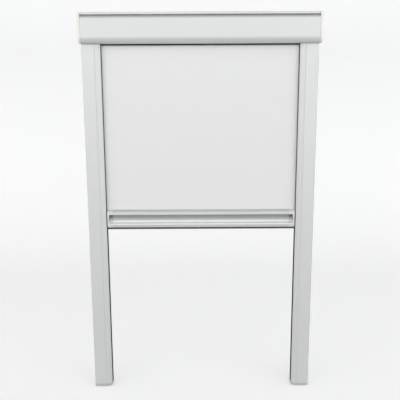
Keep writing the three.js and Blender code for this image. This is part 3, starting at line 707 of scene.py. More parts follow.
# %% [markdown]
# ## Steel and mill aluminium
# Screws, springs and pins are zinc plated steel: a cool grey with a faint bloom. The roller tube
# is mill aluminium, straight from the die, with stronger lines than the anodised parts.

# %% Material: steel and mill aluminium
ZINC = (0.66, 0.68, 0.70, 1), (0.50, 0.52, 0.54, 1)
MILL = (0.72, 0.73, 0.74, 1), (0.62, 0.63, 0.64, 1)
BLOOM = (900.0, 900.0, 900.0)
MILL_LINES = (5.0, 900.0, 900.0)
ZINC_ROUGH, MILL_ROUGH = (0.25, 0.42), (0.28, 0.45)
ZINC_DEPTH, MILL_DEPTH, METAL_STRENGTH = 0.00001, 0.00003, 0.4


def bare_metal(name, tones, stretch, rough_range, depth):
    """A metal with drawn lines or bloom, by the stretch of the same effect."""
    made, tree, shader, coordinates = material(name)
    drawn = use(tree, drawn_lines, Vector=coordinates, Stretch=stretch)
    wire(tree, shader, {
        "Base Color": blend_colours(tree, drawn["Clouds"], *tones[::-1]),
        "Roughness": noise_between(tree, drawn["Lines"], *rough_range),
        "Metallic": 1.0,
        "Normal": relief(tree, drawn["Lines"], METAL_STRENGTH, depth),
    })
    return made


zinc_steel = bare_metal("zinc_steel", ZINC, BLOOM, ZINC_ROUGH, ZINC_DEPTH)
mill_aluminium = bare_metal("mill_aluminium", MILL, MILL_LINES, MILL_ROUGH, MILL_DEPTH)
print("materials", zinc_steel.name, mill_aluminium.name)

# %% [markdown]
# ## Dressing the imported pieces
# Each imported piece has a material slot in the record. A table says which finish each slot gets,
# and the pieces that stand upright get the upright lines. What a finer skin replaces later is
# dressed as well, so that nothing can show bare.

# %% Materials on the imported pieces
FINISH = {
    "anodised_aluminium": anodised_across,
    "mill_aluminium": mill_aluminium,
    "cream_plastic": cream_plastic,
    "grey_plastic": grey_plastic,
    "white_plastic": natural_plastic,
    "blackout_cloth": cloth_front,
    "pile": pile,
    "rubber": rubber,
    "steel": zinc_steel,
    "felt": felt,
}
UPRIGHT = ("rail_base", "rail_cover")

for subpart in frame["record"]["subparts"]:
    name = subpart["node"]
    packed = frame["nodes"][name].data
    packed.materials.clear()
    finish = anodised_upright if name.startswith(UPRIGHT) else FINISH[subpart["material_slot"]]
    packed.materials.append(finish)

# %% [markdown]
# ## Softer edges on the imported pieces
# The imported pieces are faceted. Their own meshes stay as they are, and three modifiers make them
# look machined: a tiny bevel on every real edge, smooth shading across the small angles between
# facets, and normals that follow the large faces. The smooth shading is a small node tree that
# reads the angle at each edge. The wires of the springs are round already and need none of them.

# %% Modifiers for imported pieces
SMOOTH_BELOW = math.radians(32)
BEVEL_ABOVE = math.radians(40)
EDGE_ROUND = 0.00015
SPRINGS = ("torsion_spring", "brake_spring")


def smooth_by_angle():
    """A geometry group: all faces are shaded smooth, and edges sharper than SMOOTH_BELOW stay
    sharp."""
    group = bpy.data.node_groups.new("smooth_by_angle", "GeometryNodeTree")
    for way in ("INPUT", "OUTPUT"):
        group.interface.new_socket("Geometry", in_out=way, socket_type="NodeSocketGeometry")
    came = node(group, "NodeGroupInput", {}).outputs[0]
    angle = node(group, "GeometryNodeInputMeshEdgeAngle", {}).outputs["Unsigned Angle"]
    small = node(group, "FunctionNodeCompare", {0: angle, 1: SMOOTH_BELOW}, operation="LESS_THAN")
    shade = "GeometryNodeSetShadeSmooth"
    edges = node(group, shade, {0: came, 1: small.outputs[0]}, domain="EDGE")
    faces = node(group, shade, {0: edges.outputs[0]}, domain="FACE")
    node(group, "NodeGroupOutput", {0: faces.outputs[0]})
    return group


smoothing = smooth_by_angle()


def machined(piece):
    """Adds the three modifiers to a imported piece."""
    bevel = piece.modifiers.new("edge_round", "BEVEL")
    bevel.width = EDGE_ROUND
    bevel.segments = 2
    bevel.limit_method = "ANGLE"
    bevel.angle_limit = BEVEL_ABOVE
    piece.modifiers.new("smooth", "NODES").node_group = smoothing
    even_normals(piece)


softened = [name for name in frame["nodes"] if not name.startswith(SPRINGS)]
for name in softened:
    machined(frame["nodes"][name])
print("softened", len(softened), "packed pieces")

# %% [markdown]
# ## Handing a new piece over
# Each skin below takes the place of one imported piece. It gets its material, rides on the body
# that carries the imported piece, and hides the piece that it stands for.

# %% Dressing a new piece


def dress(piece, finish, body, stands_for):
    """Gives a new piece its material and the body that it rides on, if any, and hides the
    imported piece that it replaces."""
    piece.data.materials.append(finish)
    if body:
        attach(piece, body)
    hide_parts(stands_for)
    return piece


# %% [markdown]
# ## The headbox cover
# The front cover is one profile: a flat face with a small bend above and a large one below, folded
# back inside to a lip at the cloth's exit.

# %% Headbox cover
HEADBOX_DEPTH, WALL = 42.0, 1.6
COVER_TOP, COVER_TOP_DEPTH = 55.8, 9.0
LOW_BEND, TOP_BEND = 14.0, 8.0
EXIT_FRONT, EXIT_LIP = 13.0, 4.0
CUT_EDGE = 0.15

inner_face = HEADBOX_DEPTH - WALL
cover_outline = rounded_outline([
    (EXIT_FRONT, 0, MILD),
    (HEADBOX_DEPTH, 0, LOW_BEND),
    (HEADBOX_DEPTH, COVER_TOP, TOP_BEND),
    (HEADBOX_DEPTH - COVER_TOP_DEPTH, COVER_TOP, CORNER),
    (HEADBOX_DEPTH - COVER_TOP_DEPTH, COVER_TOP - WALL, CORNER),
    (inner_face, COVER_TOP - WALL, TOP_BEND - WALL),
    (inner_face, WALL, LOW_BEND - WALL),
    (EXIT_FRONT + WALL, WALL, CORNER),
    (EXIT_FRONT + WALL, EXIT_LIP, BLUNT),
    (EXIT_FRONT, EXIT_LIP, BLUNT),
])
cover_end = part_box("headbox_cover")[1].x / MM
headbox_place = across(headbox_low)
cover = extruded(
    "headbox_cover_skin", [cover_outline], -cover_end, cover_end, CUT_EDGE, headbox_place)
dress(cover, anodised_across, "frame", "headbox_cover")
print("headbox cover", round(2 * cover_end, 1), "mm long")

# %% [markdown]
# ## The end caps
# Each end cap is a moulded plate with the outline of the headbox, its outer edge rounded, with two
# sunk screw holes and a boss behind it. The left boss holds the roller's bearing in a round bore,
# and the right one the flat end of the spring's shaft in a slot.

# %% End caps
HEADBOX_HEIGHT = 61.0
CAP_THICKNESS, CAP_EDGE, CAP_INNER_SHARE = 5.0, 0.8, 0.3
CAP_BACK_ROUND, CAP_TOP_ROUND = 0.8, 2.5
PORT_FORWARD, PORTS = 4.2, (9.0, 55.0)
HOLE_RADIUS, HEAD_HOLE_RADIUS, HEAD_HOLE_DEPTH = 1.6, 3.0, 2.1
HOLE_SOFTENING = 0.15
ROLL_FORWARD, ROLL_RISE = 22.75, 30.0
BOSS_RADIUS, BOSS_EDGE, BEARING_BORE = 9.05, 0.3, 6.18
TANG_THICK, TANG_WIDE = 2.0, 3.0

boss_start, cap_outer = (corner.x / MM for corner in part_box("headbox_end_cap_right"))
cap_inner = cap_outer - CAP_THICKNESS
cap_outline = rounded_outline([
    (0, 0, CAP_BACK_ROUND),
    (HEADBOX_DEPTH, 0, LOW_BEND),
    (HEADBOX_DEPTH, HEADBOX_HEIGHT, CAP_TOP_ROUND),
    (0, HEADBOX_HEIGHT, CAP_BACK_ROUND),
])


def end_cap(word, bore):
    """The plate with its sunk holes, and the boss, on one side of the headbox. The holes widen at
    the depth of the screws' heads, and a little more at the outer face."""
    place = across(headbox_low, SIDES[word])
    stops, inset = soft_ends(cap_inner, cap_outer, CAP_EDGE)
    inset[NEAR_END] *= CAP_INNER_SHARE
    sunk = cap_outer - HEAD_HOLE_DEPTH
    stops = np.insert(stops, EDGE_STEPS + 1, [sunk, sunk])
    inset = np.insert(inset, EDGE_STEPS + 1, [0, 0])
    widened = np.arange(len(stops)) > EDGE_STEPS + 1
    hole = widened * (HEAD_HOLE_RADIUS - HOLE_RADIUS)
    hole[FAR_END] += HOLE_SOFTENING * inset[FAR_END]
    outlines = [cap_outline, *(circle(PORT_FORWARD, rise, HOLE_RADIUS) for rise in PORTS)]
    plate = carried("plate", outlines, stops, np.stack([inset, hole, hole], axis=1), place)
    rim = circle(ROLL_FORWARD, ROLL_RISE, BOSS_RADIUS)
    boss = extruded("boss", [rim, bore], boss_start, cap_inner + WALL, BOSS_EDGE, place)
    return merged(f"end_cap_skin_{word}", plate, boss)


BORES = {
    "right": box_outline(
        (ROLL_FORWARD - TANG_THICK, ROLL_RISE - TANG_WIDE),
        (ROLL_FORWARD + TANG_THICK, ROLL_RISE + TANG_WIDE),
        CORNER,
    ),
    "left": circle(ROLL_FORWARD, ROLL_RISE, BEARING_BORE),
}
for word, bore in BORES.items():
    cap = end_cap(word, bore)
    dress(cap, cream_plastic, "frame", f"headbox_end_cap_{word}")
print("end caps at", round(cap_outer, 1), "mm to each side")

# %% [markdown]
# ## The screws of the end caps
# Two screws hold each cap. A screw is turned steel with a cross pressed into its flat head, and
# each cross stands at its own angle, as screws do. Head, the solid part under the recess, and
# shank are three carried outlines that overlap by a hair.

# %% End cap screws
HEAD_HEIGHT, HEAD_EDGE = 1.8, 0.25
SHANK_RADIUS, POINTED = 1.3, 0.9
CROSS_ARM, CROSS_REACH, CROSS_DEPTH, CROSS_SPREAD = 0.42, 1.65, 1.1, 0.12
JOINED = 0.02
CROSS_TURNS = {("right", 1): 0.3, ("right", 2): 1.1, ("left", 1): 0.8, ("left", 2): 0.1}


def cross(a, b, turn):
    """The outline of a cross recess: the three corners of one arm, turned about (a, b) by quarters
    of a turn."""
    arm = np.array([
        (CROSS_REACH, -CROSS_ARM), (CROSS_REACH, CROSS_ARM), (CROSS_ARM, CROSS_ARM)])
    t = turn + np.repeat(np.arange(4), len(arm)) * math.pi / 2
    x, y = np.tile(arm, (4, 1)).T
    across_head = a + x * np.cos(t) - y * np.sin(t)
    up_head = b + x * np.sin(t) + y * np.cos(t)
    return rounded_outline([(*corner, TIGHT) for corner in zip(across_head, up_head)])


def cap_screw(word, number, turn):
    """A flat head with a cross recess that is CROSS_SPREAD wider at its floor, the solid part
    under the recess, and a pointed shank."""
    packed = f"end_cap_screw_{number}_{word}"
    low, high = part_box(packed)
    tip, face = sorted(abs(corner.x) / MM for corner in (low, high))
    middle = PORT_FORWARD, PORTS[number - 1]
    place = across(headbox_low, SIDES[word])
    rim = circle(*middle, (high.z - low.z) / MM / 2)
    stops, inset = soft_ends(face - CROSS_DEPTH, face, HEAD_EDGE)
    inset[NEAR_END] = 0
    recess = np.linspace(CROSS_SPREAD, 0, len(stops)) - HOLE_SOFTENING * inset
    insets = np.stack([inset, recess], axis=1)
    head = carried("head", [rim, cross(*middle, turn)], stops, insets, place)
    under = np.array([face - HEAD_HEIGHT, face - CROSS_DEPTH + JOINED])
    base = carried("base", [rim], under, np.zeros(2), place)
    along = np.array([tip, tip + SHANK_RADIUS, face - HEAD_HEIGHT + JOINED])
    point = np.array([POINTED * SHANK_RADIUS, 0, 0])
    shank = carried("shank", [circle(*middle, SHANK_RADIUS)], along, point, place)
    screw = merged(f"{packed}_skin", head, base, shank)
    return dress(screw, zinc_steel, "frame", packed)


screws = [cap_screw(word, number, turn) for (word, number), turn in CROSS_TURNS.items()]
print(len(screws), "end cap screws")

# %% [markdown]
# ## The side rails
# The clip-on cover of a rail is flat from its outer corner to a fine groove, turns down at a
# crease and ends in a round nose beside the cloth. Two legs behind it clip into the rail's base.

# %% Rail covers
RAIL_WIDTH, RAIL_DEPTH, FIT = 38.0, 22.0, 0.3
LEDGE, SLOT_DEPTH = 8.0, 14.0
GROOVE_FROM, GROOVE_WIDTH, GROOVE_DEPTH = 12.0, 1.2, 0.7
CREASE_FROM, CREASE_DROP, NOSE_DROP = 6.6, 0.9, 3.6
CLIP_WALL, CLIP_REACH = 1.4, 7.0
OUTER_ROUND, NOSE_ROUND, CREASE_ROUND, CREASE_INSIDE = 1.2, 1.5, 4.0, 2.0

rail_low, rail_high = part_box("rail_cover_right")
rail_inner = rail_low.x / MM
seat = RAIL_DEPTH - WALL
clip_foot = seat - CLIP_REACH
rail_face = [
    (RAIL_WIDTH, RAIL_DEPTH, OUTER_ROUND),
    (GROOVE_FROM, RAIL_DEPTH, CRISP),
    (GROOVE_FROM - GROOVE_WIDTH / 2, RAIL_DEPTH - GROOVE_DEPTH, TIGHT),
    (GROOVE_FROM - GROOVE_WIDTH, RAIL_DEPTH - FIT, CRISP),
    (CREASE_FROM, RAIL_DEPTH - CREASE_DROP, CREASE_ROUND),
    (0, RAIL_DEPTH - NOSE_DROP, NOSE_ROUND),
]


def clip_leg(start):
    """The outline of a leg that stands on the cover's inside, from start outwards."""
    end = start + CLIP_WALL
    return [
        (start, seat, CRISP),
        (start, clip_foot, CORNER),
        (end, clip_foot, CORNER),
        (end, seat, CRISP),
    ]


rail_outline = rounded_outline([
    (0, EXIT_FRONT, CORNER),
    (LEDGE, EXIT_FRONT, MILD),
    (LEDGE, EXIT_FRONT + WALL, MILD),
    (WALL, EXIT_FRONT + WALL, FINE),
    (WALL, RAIL_DEPTH - NOSE_DROP - WALL, MILD),
    (CREASE_FROM, RAIL_DEPTH - CREASE_DROP - WALL, CREASE_INSIDE),
    (SLOT_DEPTH, seat, CORNER),
    *clip_leg(SLOT_DEPTH + WALL + FIT),
    *clip_leg(RAIL_WIDTH - WALL - FIT - CLIP_WALL),
    (RAIL_WIDTH, seat, CRISP),
    *rail_face,
])
for word, side in SIDES.items():
    place = upright(rail_inner, side)
    span = rail_low.z / MM, rail_high.z / MM
    skin = extruded(f"rail_cover_skin_{word}", [rail_outline], *span, CUT_EDGE, place)
    dress(skin, anodised_upright, "frame", f"rail_cover_{word}")
print("rail covers, inner edge at", round(rail_inner, 1), "mm")

# %% [markdown]
# ## The rails' feet
# Under each rail sits a moulded foot with the same front as the rail's cover and a belly that
# touches the floor in its middle. It is a row of upright sections across the rail, each a
# rectangle with round corners whose front follows the rail. A plug stands on it, inside the rail.

# %% Rail feet
FOOT_TOP, FOOT_CROWN = 5.7, 2.0
FOOT_EDGE, FOOT_TOP_ROUND, FOOT_TOP_SHARE = 0.8, 0.25, 0.3
FOOT_COLUMNS, FOOT_CORNER_STEPS, FACE_ENDS = 72, 7, 4
PLUG_LOW, PLUG_HIGH, PLUG_TOP = (17.6, 1.9), (34.4, 13.1), 20.0


def foot_ring(front, under, inset):
    """The sections as arrays of b and c, one row each. They run from corner to corner, and each
    corner is a quarter circle about a centre that lies its radius inside both sides."""
    corner = np.linspace(0, math.pi / 2, FOOT_CORNER_STEPS)
    loop_b, loop_c = [], []
    for turn, (at_front, at_top) in enumerate(((0, 0), (1, 0), (1, 1), (0, 1))):
        radius = FOOT_TOP_ROUND if at_top else FOOT_EDGE
        angle = corner + math.pi + turn * math.pi / 2
        centre_b = np.where(at_front, front - inset, inset) + (1 - 2 * at_front) * radius
        top = FOOT_TOP - inset * FOOT_TOP_SHARE
        centre_c = np.where(at_top, top, under + inset) + (1 - 2 * at_top) * radius
        loop_b.append(centre_b[:, None] + radius * np.cos(angle))
        loop_c.append(centre_c[:, None] + radius * np.sin(angle))
    return np.concatenate(loop_b, axis=1), np.concatenate(loop_c, axis=1)


def rail_foot(word):
    """The foot as sections across the rail. At a distance a from its middle, the underside is at
    R - sqrt(R^2 - a^2), where R is the radius of the arch, and the front is the rail's own face.
    Near both ends the sections are drawn in on a quarter circle."""
    face = rounded_outline([(RAIL_WIDTH, 0, 0), (0, 0, 0), *rail_face[::-1]])
    face = face[face[:, 1] > WALL]
    face = face[np.argsort(face[:, 0], kind="stable")]
    t = (1 - np.cos(np.linspace(0, math.pi, FOOT_COLUMNS))) / 2
    wide = np.unique(np.concatenate([t * RAIL_WIDTH, face[FACE_ENDS:-FACE_ENDS, 0]]))
    front = np.interp(wide, face[:, 0], face[:, 1])
    half = RAIL_WIDTH / 2
    arch = (half ** 2 + FOOT_CROWN ** 2) / (2 * FOOT_CROWN)
    under = arch - np.sqrt(arch ** 2 - (wide - half) ** 2)
    depth = np.clip(1 - np.minimum(wide, RAIL_WIDTH - wide) / FOOT_EDGE, 0, 1)
    inset = FOOT_EDGE * (1 - np.sqrt(1 - depth ** 2))
    b, c = foot_ring(front, under, inset)
    place = upright(rail_inner, SIDES[word])
    points = np.stack(place(wide[:, None] + 0 * b, b, c), axis=-1)
    rows, count = b.shape
    k = np.arange(count)
    ends = [k.tolist(), (k[::-1] + (rows - 1) * count).tolist()]
    body = mesh_piece("body", points, ring_walls(rows, np.roll(k, -1)) + ends, flat_faces=2)
    turn_outwards(body)
    block = box_outline(PLUG_LOW, PLUG_HIGH, ROUND)
    plug = extruded("plug", [block], FOOT_TOP - WALL, PLUG_TOP, ROUND, place)
    return merged(f"rail_foot_skin_{word}", body, plug)


for word in SIDES:
    dress(rail_foot(word), grey_plastic, "frame", f"rail_foot_{word}")
print("feet", FOOT_TOP, "mm high")

# %% [markdown]
# ## The hand bar
# The bar's profile holds a finger groove, a slot and a round bore for the cloth's hem, a chamber
# that a slot below opens, and a small hollow in the upper lip. The back of the groove is two
# quarters of ellipses, which meet at its deepest point without a kink.

# %% Curves of the hand bar
BAR_FRONT, BAR_HEIGHT = 19.5, 38.0
SCOOP_TOP, SCOOP_FLOOR, SCOOP_TURN, SCOOP_STEPS = 28.5, 12.4, 13.5, 48
LOW_LIP_TOP, LOW_LIP_FRONT, LIP_FLAT = 9.2, 19.0, 0.8
CLOTH_FORWARD, HEM_SLOT, HEM_MOUTH = 9.0, 1.2, 0.25
SPLINE_RISE, SPLINE_BORE, SPLINE_STEPS = 30.4, 2.2, 40


def scoop(start=0.0, end=math.pi, offset=0.0):
    """The groove's back, up from the lower lip: at angle t, centre - depth sin t forward and
    turn - reach cos t up, where centre and reach change from the lower lip's to the upper lip's
    halfway up, at the deepest point. An offset moves the curve into the metal."""
    t = np.linspace(start, end, SCOOP_STEPS)
    upper = t > math.pi / 2
    centre = np.where(upper, BAR_FRONT, LOW_LIP_FRONT) - LIP_FLAT
    reach = np.where(upper, SCOOP_TOP - SCOOP_TURN, SCOOP_TURN - LOW_LIP_TOP) + offset
    a = centre - (centre - SCOOP_FLOOR + offset) * np.sin(t)
    b = SCOOP_TURN - reach * np.cos(t)
    return [(*point, 0.0) for point in zip(a, b)]


def hem_channel(foot):
    """The slot for the cloth from the bar's top, front side first, with foot at its lower end."""
    half = HEM_SLOT / 2
    front, back = ((CLOTH_FORWARD + a, BAR_HEIGHT, HEM_MOUTH) for a in (half, -half))
    return [front, *foot, back]


def hem_bore():
    """The round bore at the slot's foot: from the angle whose cosine is half the slot's width over
    the bore's radius, down round the bottom, to the same angle behind."""
    start = math.acos(HEM_SLOT / 2 / SPLINE_BORE)
    t = np.linspace(start, -math.pi - start, SPLINE_STEPS)
    a, b = CLOTH_FORWARD + SPLINE_BORE * np.cos(t), SPLINE_RISE + SPLINE_BORE * np.sin(t)
    return [(*point, 0.0) for point in zip(a, b)]


print("groove", round(SCOOP_TOP - LOW_LIP_TOP, 1), "mm high")

# %% [markdown]
# ## The bar's profile
# The curves are joined by straight walls. The front is a function, because the end caps share it,
# once with the groove and once without. The chamber and the hollow in the lip keep every wall of
# the profile about equally thick, as a die needs it.

# %% Hand bar profile
BAR_BACK, BAR_WALL, BAR_CUT_EDGE = 3.5, 1.5, 0.1
BEVEL_TOP, BEVEL_FOOT = 5.4, 16.2
LIP_TOP, LIP_ROUND, GROOVE_MOUTH = 35.0, 1.0, 0.35
DOME_FORWARD, DOME_ROUND = 12.0, 8.0
CHAMBER_TOP, CHAMBER_FROM = 26.5, math.pi / 8
HOOK_FORWARD, HOOK_SLOT = 8.0, 2.0
HOLLOW_BACK, HOLLOW_FRONT_RISE, HOLLOW_BACK_RISE = 13.2, 4.0, 6.0


def bar_front(groove, bevel_round, mouth_round):
    """The bar's front from its foot to the dome on its top, with the points of its groove."""
    return [
        (BEVEL_FOOT, 0, ROUND),
        (LOW_LIP_FRONT, BEVEL_TOP, bevel_round),
        (LOW_LIP_FRONT, LOW_LIP_TOP, CORNER),
        *groove,
        (BAR_FRONT, SCOOP_TOP, mouth_round),
        (BAR_FRONT, LIP_TOP, LIP_ROUND),
        (DOME_FORWARD, BAR_HEIGHT, DOME_ROUND),
    ]


def bar_section(foot_round, *middle):
    """A closed outline of the bar: up its back, with everything else between foot and top."""
    return rounded_outline([(BAR_BACK, 0, foot_round), *middle, (BAR_BACK, BAR_HEIGHT, ROUND)])


grooved_front = bar_front(scoop(), BLUNT, GROOVE_MOUTH)
chamber_back, chamber_front = BAR_BACK + BAR_WALL, SCOOP_FLOOR - BAR_WALL
hook_back, hook_front = HOOK_FORWARD - HOOK_SLOT / 2, HOOK_FORWARD + HOOK_SLOT / 2
chamber = [
    (hook_back, 0, FINE),
    (hook_back, BAR_WALL, FINE),
    (chamber_back, BAR_WALL, BLUNT),
    (chamber_back, CHAMBER_TOP, BLUNT),
    (chamber_front, CHAMBER_TOP, BLUNT),
    *scoop(CHAMBER_FROM, math.pi / 2, BAR_WALL)[::-1],
    (LOW_LIP_FRONT - BAR_WALL, LOW_LIP_TOP - BAR_WALL, CORNER),
    (LOW_LIP_FRONT - BAR_WALL, BEVEL_TOP, CORNER),
    (BEVEL_FOOT - BAR_WALL, BAR_WALL, CORNER),
    (hook_front, BAR_WALL, FINE),
    (hook_front, 0, FINE),
]
bar_outline = bar_section(CORNER, *chamber, *grooved_front, *hem_channel(hem_bore()))
hollow_floor = SCOOP_TOP + BAR_WALL
lip_hollow = rounded_outline([
    (HOLLOW_BACK, hollow_floor, MILD),
    (BAR_FRONT - BAR_WALL, hollow_floor, MILD),
    (BAR_FRONT - BAR_WALL, hollow_floor + HOLLOW_FRONT_RISE, CORNER),
    (HOLLOW_BACK, hollow_floor + HOLLOW_BACK_RISE, MILD),
])
bar_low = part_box("bar_profile")[0].z
bar_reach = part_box("bar_profile")[1].x / MM
bar_sections = [bar_outline, lip_hollow]
bar = extruded(
    "bar_profile_skin", bar_sections, -bar_reach, bar_reach, BAR_CUT_EDGE, across(bar_low))
dress(bar, anodised_bar, "bar", "bar_profile")
print("hand bar,", round(bar_low / MM, 1), "mm up,", len(bar_outline), "points in its outline")

# %% [markdown]
# ## The ends of the bar
# The bar's ends are moulded caps: the profile's outline with the groove, closed by a solid plate
# whose front is plain. A slot through both holds the tongue that runs in the rail.

# %% Hand bar ends
CAP_PLATE, PLATE_EDGE, PLATE_INNER_SHARE = 4.0, 0.4, 0.4
PLATE_OVERLAP = 0.2
GLIDE_HALF, GLIDE_LOW, GLIDE_HIGH = 1.5, 4.7, 24.3

slot_below = [(CLOTH_FORWARD + a, SPLINE_RISE, TIGHT) for a in (HEM_SLOT / 2, -HEM_SLOT / 2)]
cap_channel = hem_channel(slot_below)
plain_front = bar_front([], ROUND, CORNER)
glide_slot = box_outline(
    (CLOTH_FORWARD - GLIDE_HALF, GLIDE_LOW), (CLOTH_FORWARD + GLIDE_HALF, GLIDE_HIGH), FINE)
cap_grooved = [bar_section(BLUNT, *grooved_front, *cap_channel), glide_slot]
cap_plain = [bar_section(BLUNT, *plain_front, *cap_channel), glide_slot]
bar_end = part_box("bar_end_cap_right")[1].x / MM


def bar_cap(word):
    """A grooved length against the profile and a solid plate with a soft outer edge."""
    place = across(bar_low, SIDES[word])
    plate_from = bar_end - CAP_PLATE
    grooved_to = plate_from + PLATE_OVERLAP
    grooved = extruded("grooved", cap_grooved, bar_reach + FIT, grooved_to, BAR_CUT_EDGE, place)
    plate = extruded(
        "plate", cap_plain, plate_from, bar_end, PLATE_EDGE, place, PLATE_INNER_SHARE)
    return merged(f"bar_cap_skin_{word}", grooved, plate)


for word in SIDES:
    dress(bar_cap(word), bar_end_plastic, "bar", f"bar_end_cap_{word}")
print("bar ends at", round(bar_end, 1), "mm to each side")

# %% [markdown]
# ## The seal under the bar
# A rubber lip closes the gap under the bar. It is held by a stem with a head in the slot of the
# bar's chamber, and only the lip runs on under the end caps.

# %% Bar seal
SEAL_DROP, SEAL_ROUND = 4.2, 0.7
SEAL_BACK, SEAL_FOOT, SEAL_FRONT = 6.0, 15.1, 15.4
STEM_HALF, STEM_TOP, STEM_SHORT = 0.7, 1.8, 12.0
HOOK_HALF, HOOK_TOP = 2.0, 3.0
SEAL_EDGE, SEAL_OVERLAP = 0.02, 0.1

lip = [
    (SEAL_BACK, -SEAL_DROP, SEAL_ROUND),
    (SEAL_FOOT, -SEAL_DROP, BLUNT),
    (SEAL_FRONT, -FIT, FINE),
]
heel = (SEAL_BACK, -FIT, FINE)
half_hook = [
    (STEM_HALF, -FIT, TIGHT),
    (STEM_HALF, STEM_TOP, TIGHT),
    (HOOK_HALF, STEM_TOP, CORNER),
    (HOOK_HALF, HOOK_TOP, BLUNT),
]
hook = [(HOOK_FORWARD + a, b, radius) for a, b, radius in half_hook]
hook += [(HOOK_FORWARD - a, b, radius) for a, b, radius in half_hook[::-1]]
seal_outline, lip_outline = rounded_outline([*lip, *hook, heel]), rounded_outline([*lip, heel])
stem_end = bar_reach - STEM_SHORT
lengths = (
    ("seal", seal_outline, -stem_end, stem_end),
    ("lip_left", lip_outline, -bar_end, -stem_end + SEAL_OVERLAP),
    ("lip_right", lip_outline, stem_end - SEAL_OVERLAP, bar_end),
)
parts = [
    extruded(name, [outline], start, end, SEAL_EDGE, across(bar_low))
    for name, outline, start, end in lengths
]
dress(merged("bar_seal_skin", *parts), rubber, "bar", "bar_seal")
print("bar seal", round(2 * bar_end, 1), "mm long")

# %% [markdown]
# ## The cloth
# The cloth hangs from the roller to the hem in the bar, and both edges run in the rails. It is
# under light tension, so it stays almost flat: long shallow waves run down its length, strongest
# in the middle and gone at the hem and in the rails. It is one closed sheet of its real thickness,
# white in front, with a metal coating behind. It rides on no body.

# %% Hanging cloth
CLOTH_THICKNESS = 0.4
WAVE_DEPTH, WAVE_FADE = 0.16, 8
WAVES = ((190, 1.0, 0.6), (77, 0.5, 2.0), (41, 0.25, 4.0))
WANDER, WANDER_TURN = 6, 2.1
CLOTH_COLUMNS, CLOTH_ROWS = 160, 260
FACES_BACK = 0.5

cloth_low, cloth_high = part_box("fabric_sheet")
cloth_half = cloth_high.x / MM
cloth_bottom, cloth_top = cloth_low.z / MM, cloth_high.z / MM


def cloth_waves(x, share):
    """How far the cloth stands forward, in millimetres, at x and at share of the way down. Each of
    WAVES has a length in millimetres, a height and a place, and is bent by WANDER. Their sum is
    multiplied by sin(pi share) and by a fade towards the rails: 1 - (x / half) ^ WAVE_FADE."""
    along = 2 * math.pi * (x + WANDER * np.sin(WANDER_TURN * share))
    waves = sum(height * np.sin(along / length + start) for length, height, start in WAVES)
    return WAVE_DEPTH * waves * np.sin(math.pi * share) * (1 - (x / cloth_half) ** WAVE_FADE)


def grid_faces(index):
    """The four-sided faces of a grid of point numbers."""
    corners = [index[:-1, :-1], index[1:, :-1], index[1:, 1:], index[:-1, 1:]]
    return np.stack(corners, axis=-1).reshape(-1, 4)


x, share = np.meshgrid(
    np.linspace(-cloth_half, cloth_half, CLOTH_COLUMNS), np.linspace(0, 1, CLOTH_ROWS))
z = cloth_top + (cloth_bottom - cloth_top) * share
forward = CLOTH_FORWARD + cloth_waves(x, share)
faces_at = [forward + CLOTH_THICKNESS / 2, forward - CLOTH_THICKNESS / 2]
points = np.stack([np.stack([x, back_plane / MM - f, z], axis=-1) for f in faces_at]) * MM
front, back = np.arange(2 * x.size).reshape(2, CLOTH_ROWS, CLOTH_COLUMNS)
rim = np.concatenate([front[:-1, 0], front[-1, :-1], front[:0:-1, -1], front[0, :0:-1]])
rim_back = rim + x.size
rim_faces = np.stack([rim, rim_back, np.roll(rim_back, -1), np.roll(rim, -1)], axis=-1)
faces = np.concatenate([grid_faces(front), grid_faces(back)[:, ::-1], rim_faces])
cloth = mesh_piece("cloth_skin", points, faces.tolist(), flat_faces=len(rim_faces))
turn_outwards(cloth)
dress(cloth, cloth_front, None, "fabric_sheet")
cloth.data.materials.append(cloth_back)
facing = np.empty(len(cloth.data.polygons) * 3)
cloth.data.polygons.foreach_get("normal", facing)
is_back = (facing[1::3] > FACES_BACK).astype(np.int32)
cloth.data.polygons.foreach_set("material_index", is_back)
cloth.data.update()
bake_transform(cloth)
print("cloth", CLOTH_ROWS, "x", CLOTH_COLUMNS, "points")

# %% [markdown]
# ## The cloth on the roller
# The wound cloth is an Archimedean spiral: its radius shrinks by one thickness in each turn. Only
# the outer turn shows its step, so the solid has the spiral outside and a round bore.

# %% Wound cloth
ROLL_RADIUS, TUBE_SHARE, ROLL_EDGE = 13.249, 0.83, 0.1
SPIRAL_STEPS, BORE_STEPS = 180, 120

t = np.linspace(0, 2 * math.pi, SPIRAL_STEPS)
radius = ROLL_RADIUS - CLOTH_THICKNESS * t / (2 * math.pi)
spiral = np.stack([
    ROLL_FORWARD + radius * np.cos(math.pi + t),
    ROLL_RISE + radius * np.sin(math.pi + t),
], axis=1)
roll_bore = circle(ROLL_FORWARD, ROLL_RISE, ROLL_RADIUS * TUBE_SHARE + FIT, BORE_STEPS)
roll = extruded(
    "roll_skin", [spiral, roll_bore], -cloth_half, cloth_half, ROLL_EDGE, headbox_place)
dress(roll, cloth_front, "roller", "fabric_roll")
print("wound cloth", round(2 * ROLL_RADIUS, 1), "mm across")

# %% [markdown]
# ## Brush pile
# A pile strip is a thin backing with rows of short stiff fibres. Each fibre is a long thin
# pyramid: a triangle at its root and one point at its tip. Fibre i stands at its own place on the
# backing, leans a little at random, and is a little longer or shorter than the next, all from one
# seeded generator. The fibres at the cloth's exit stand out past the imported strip, as far as the
# bar leaves room.

# %% Brush seals
FIBRES_PAST = 0.0022
BACKING = 0.5
RUN_MARGIN, ROW_MARGIN = 0.3, 0.25
RUN_SHIFT, ROW_SHIFT = 0.35, 0.1
FIBRE_LEAN, LONGEST = 0.07, 0.985
EXIT_BRUSH = {"rows": 8, "pitch": 0.16, "width": 0.22, "shortest": 0.74}
RAIL_BRUSH = {"rows": 9, "pitch": 0.42, "width": 0.09, "shortest": 0.9}
random = np.random.default_rng(7)


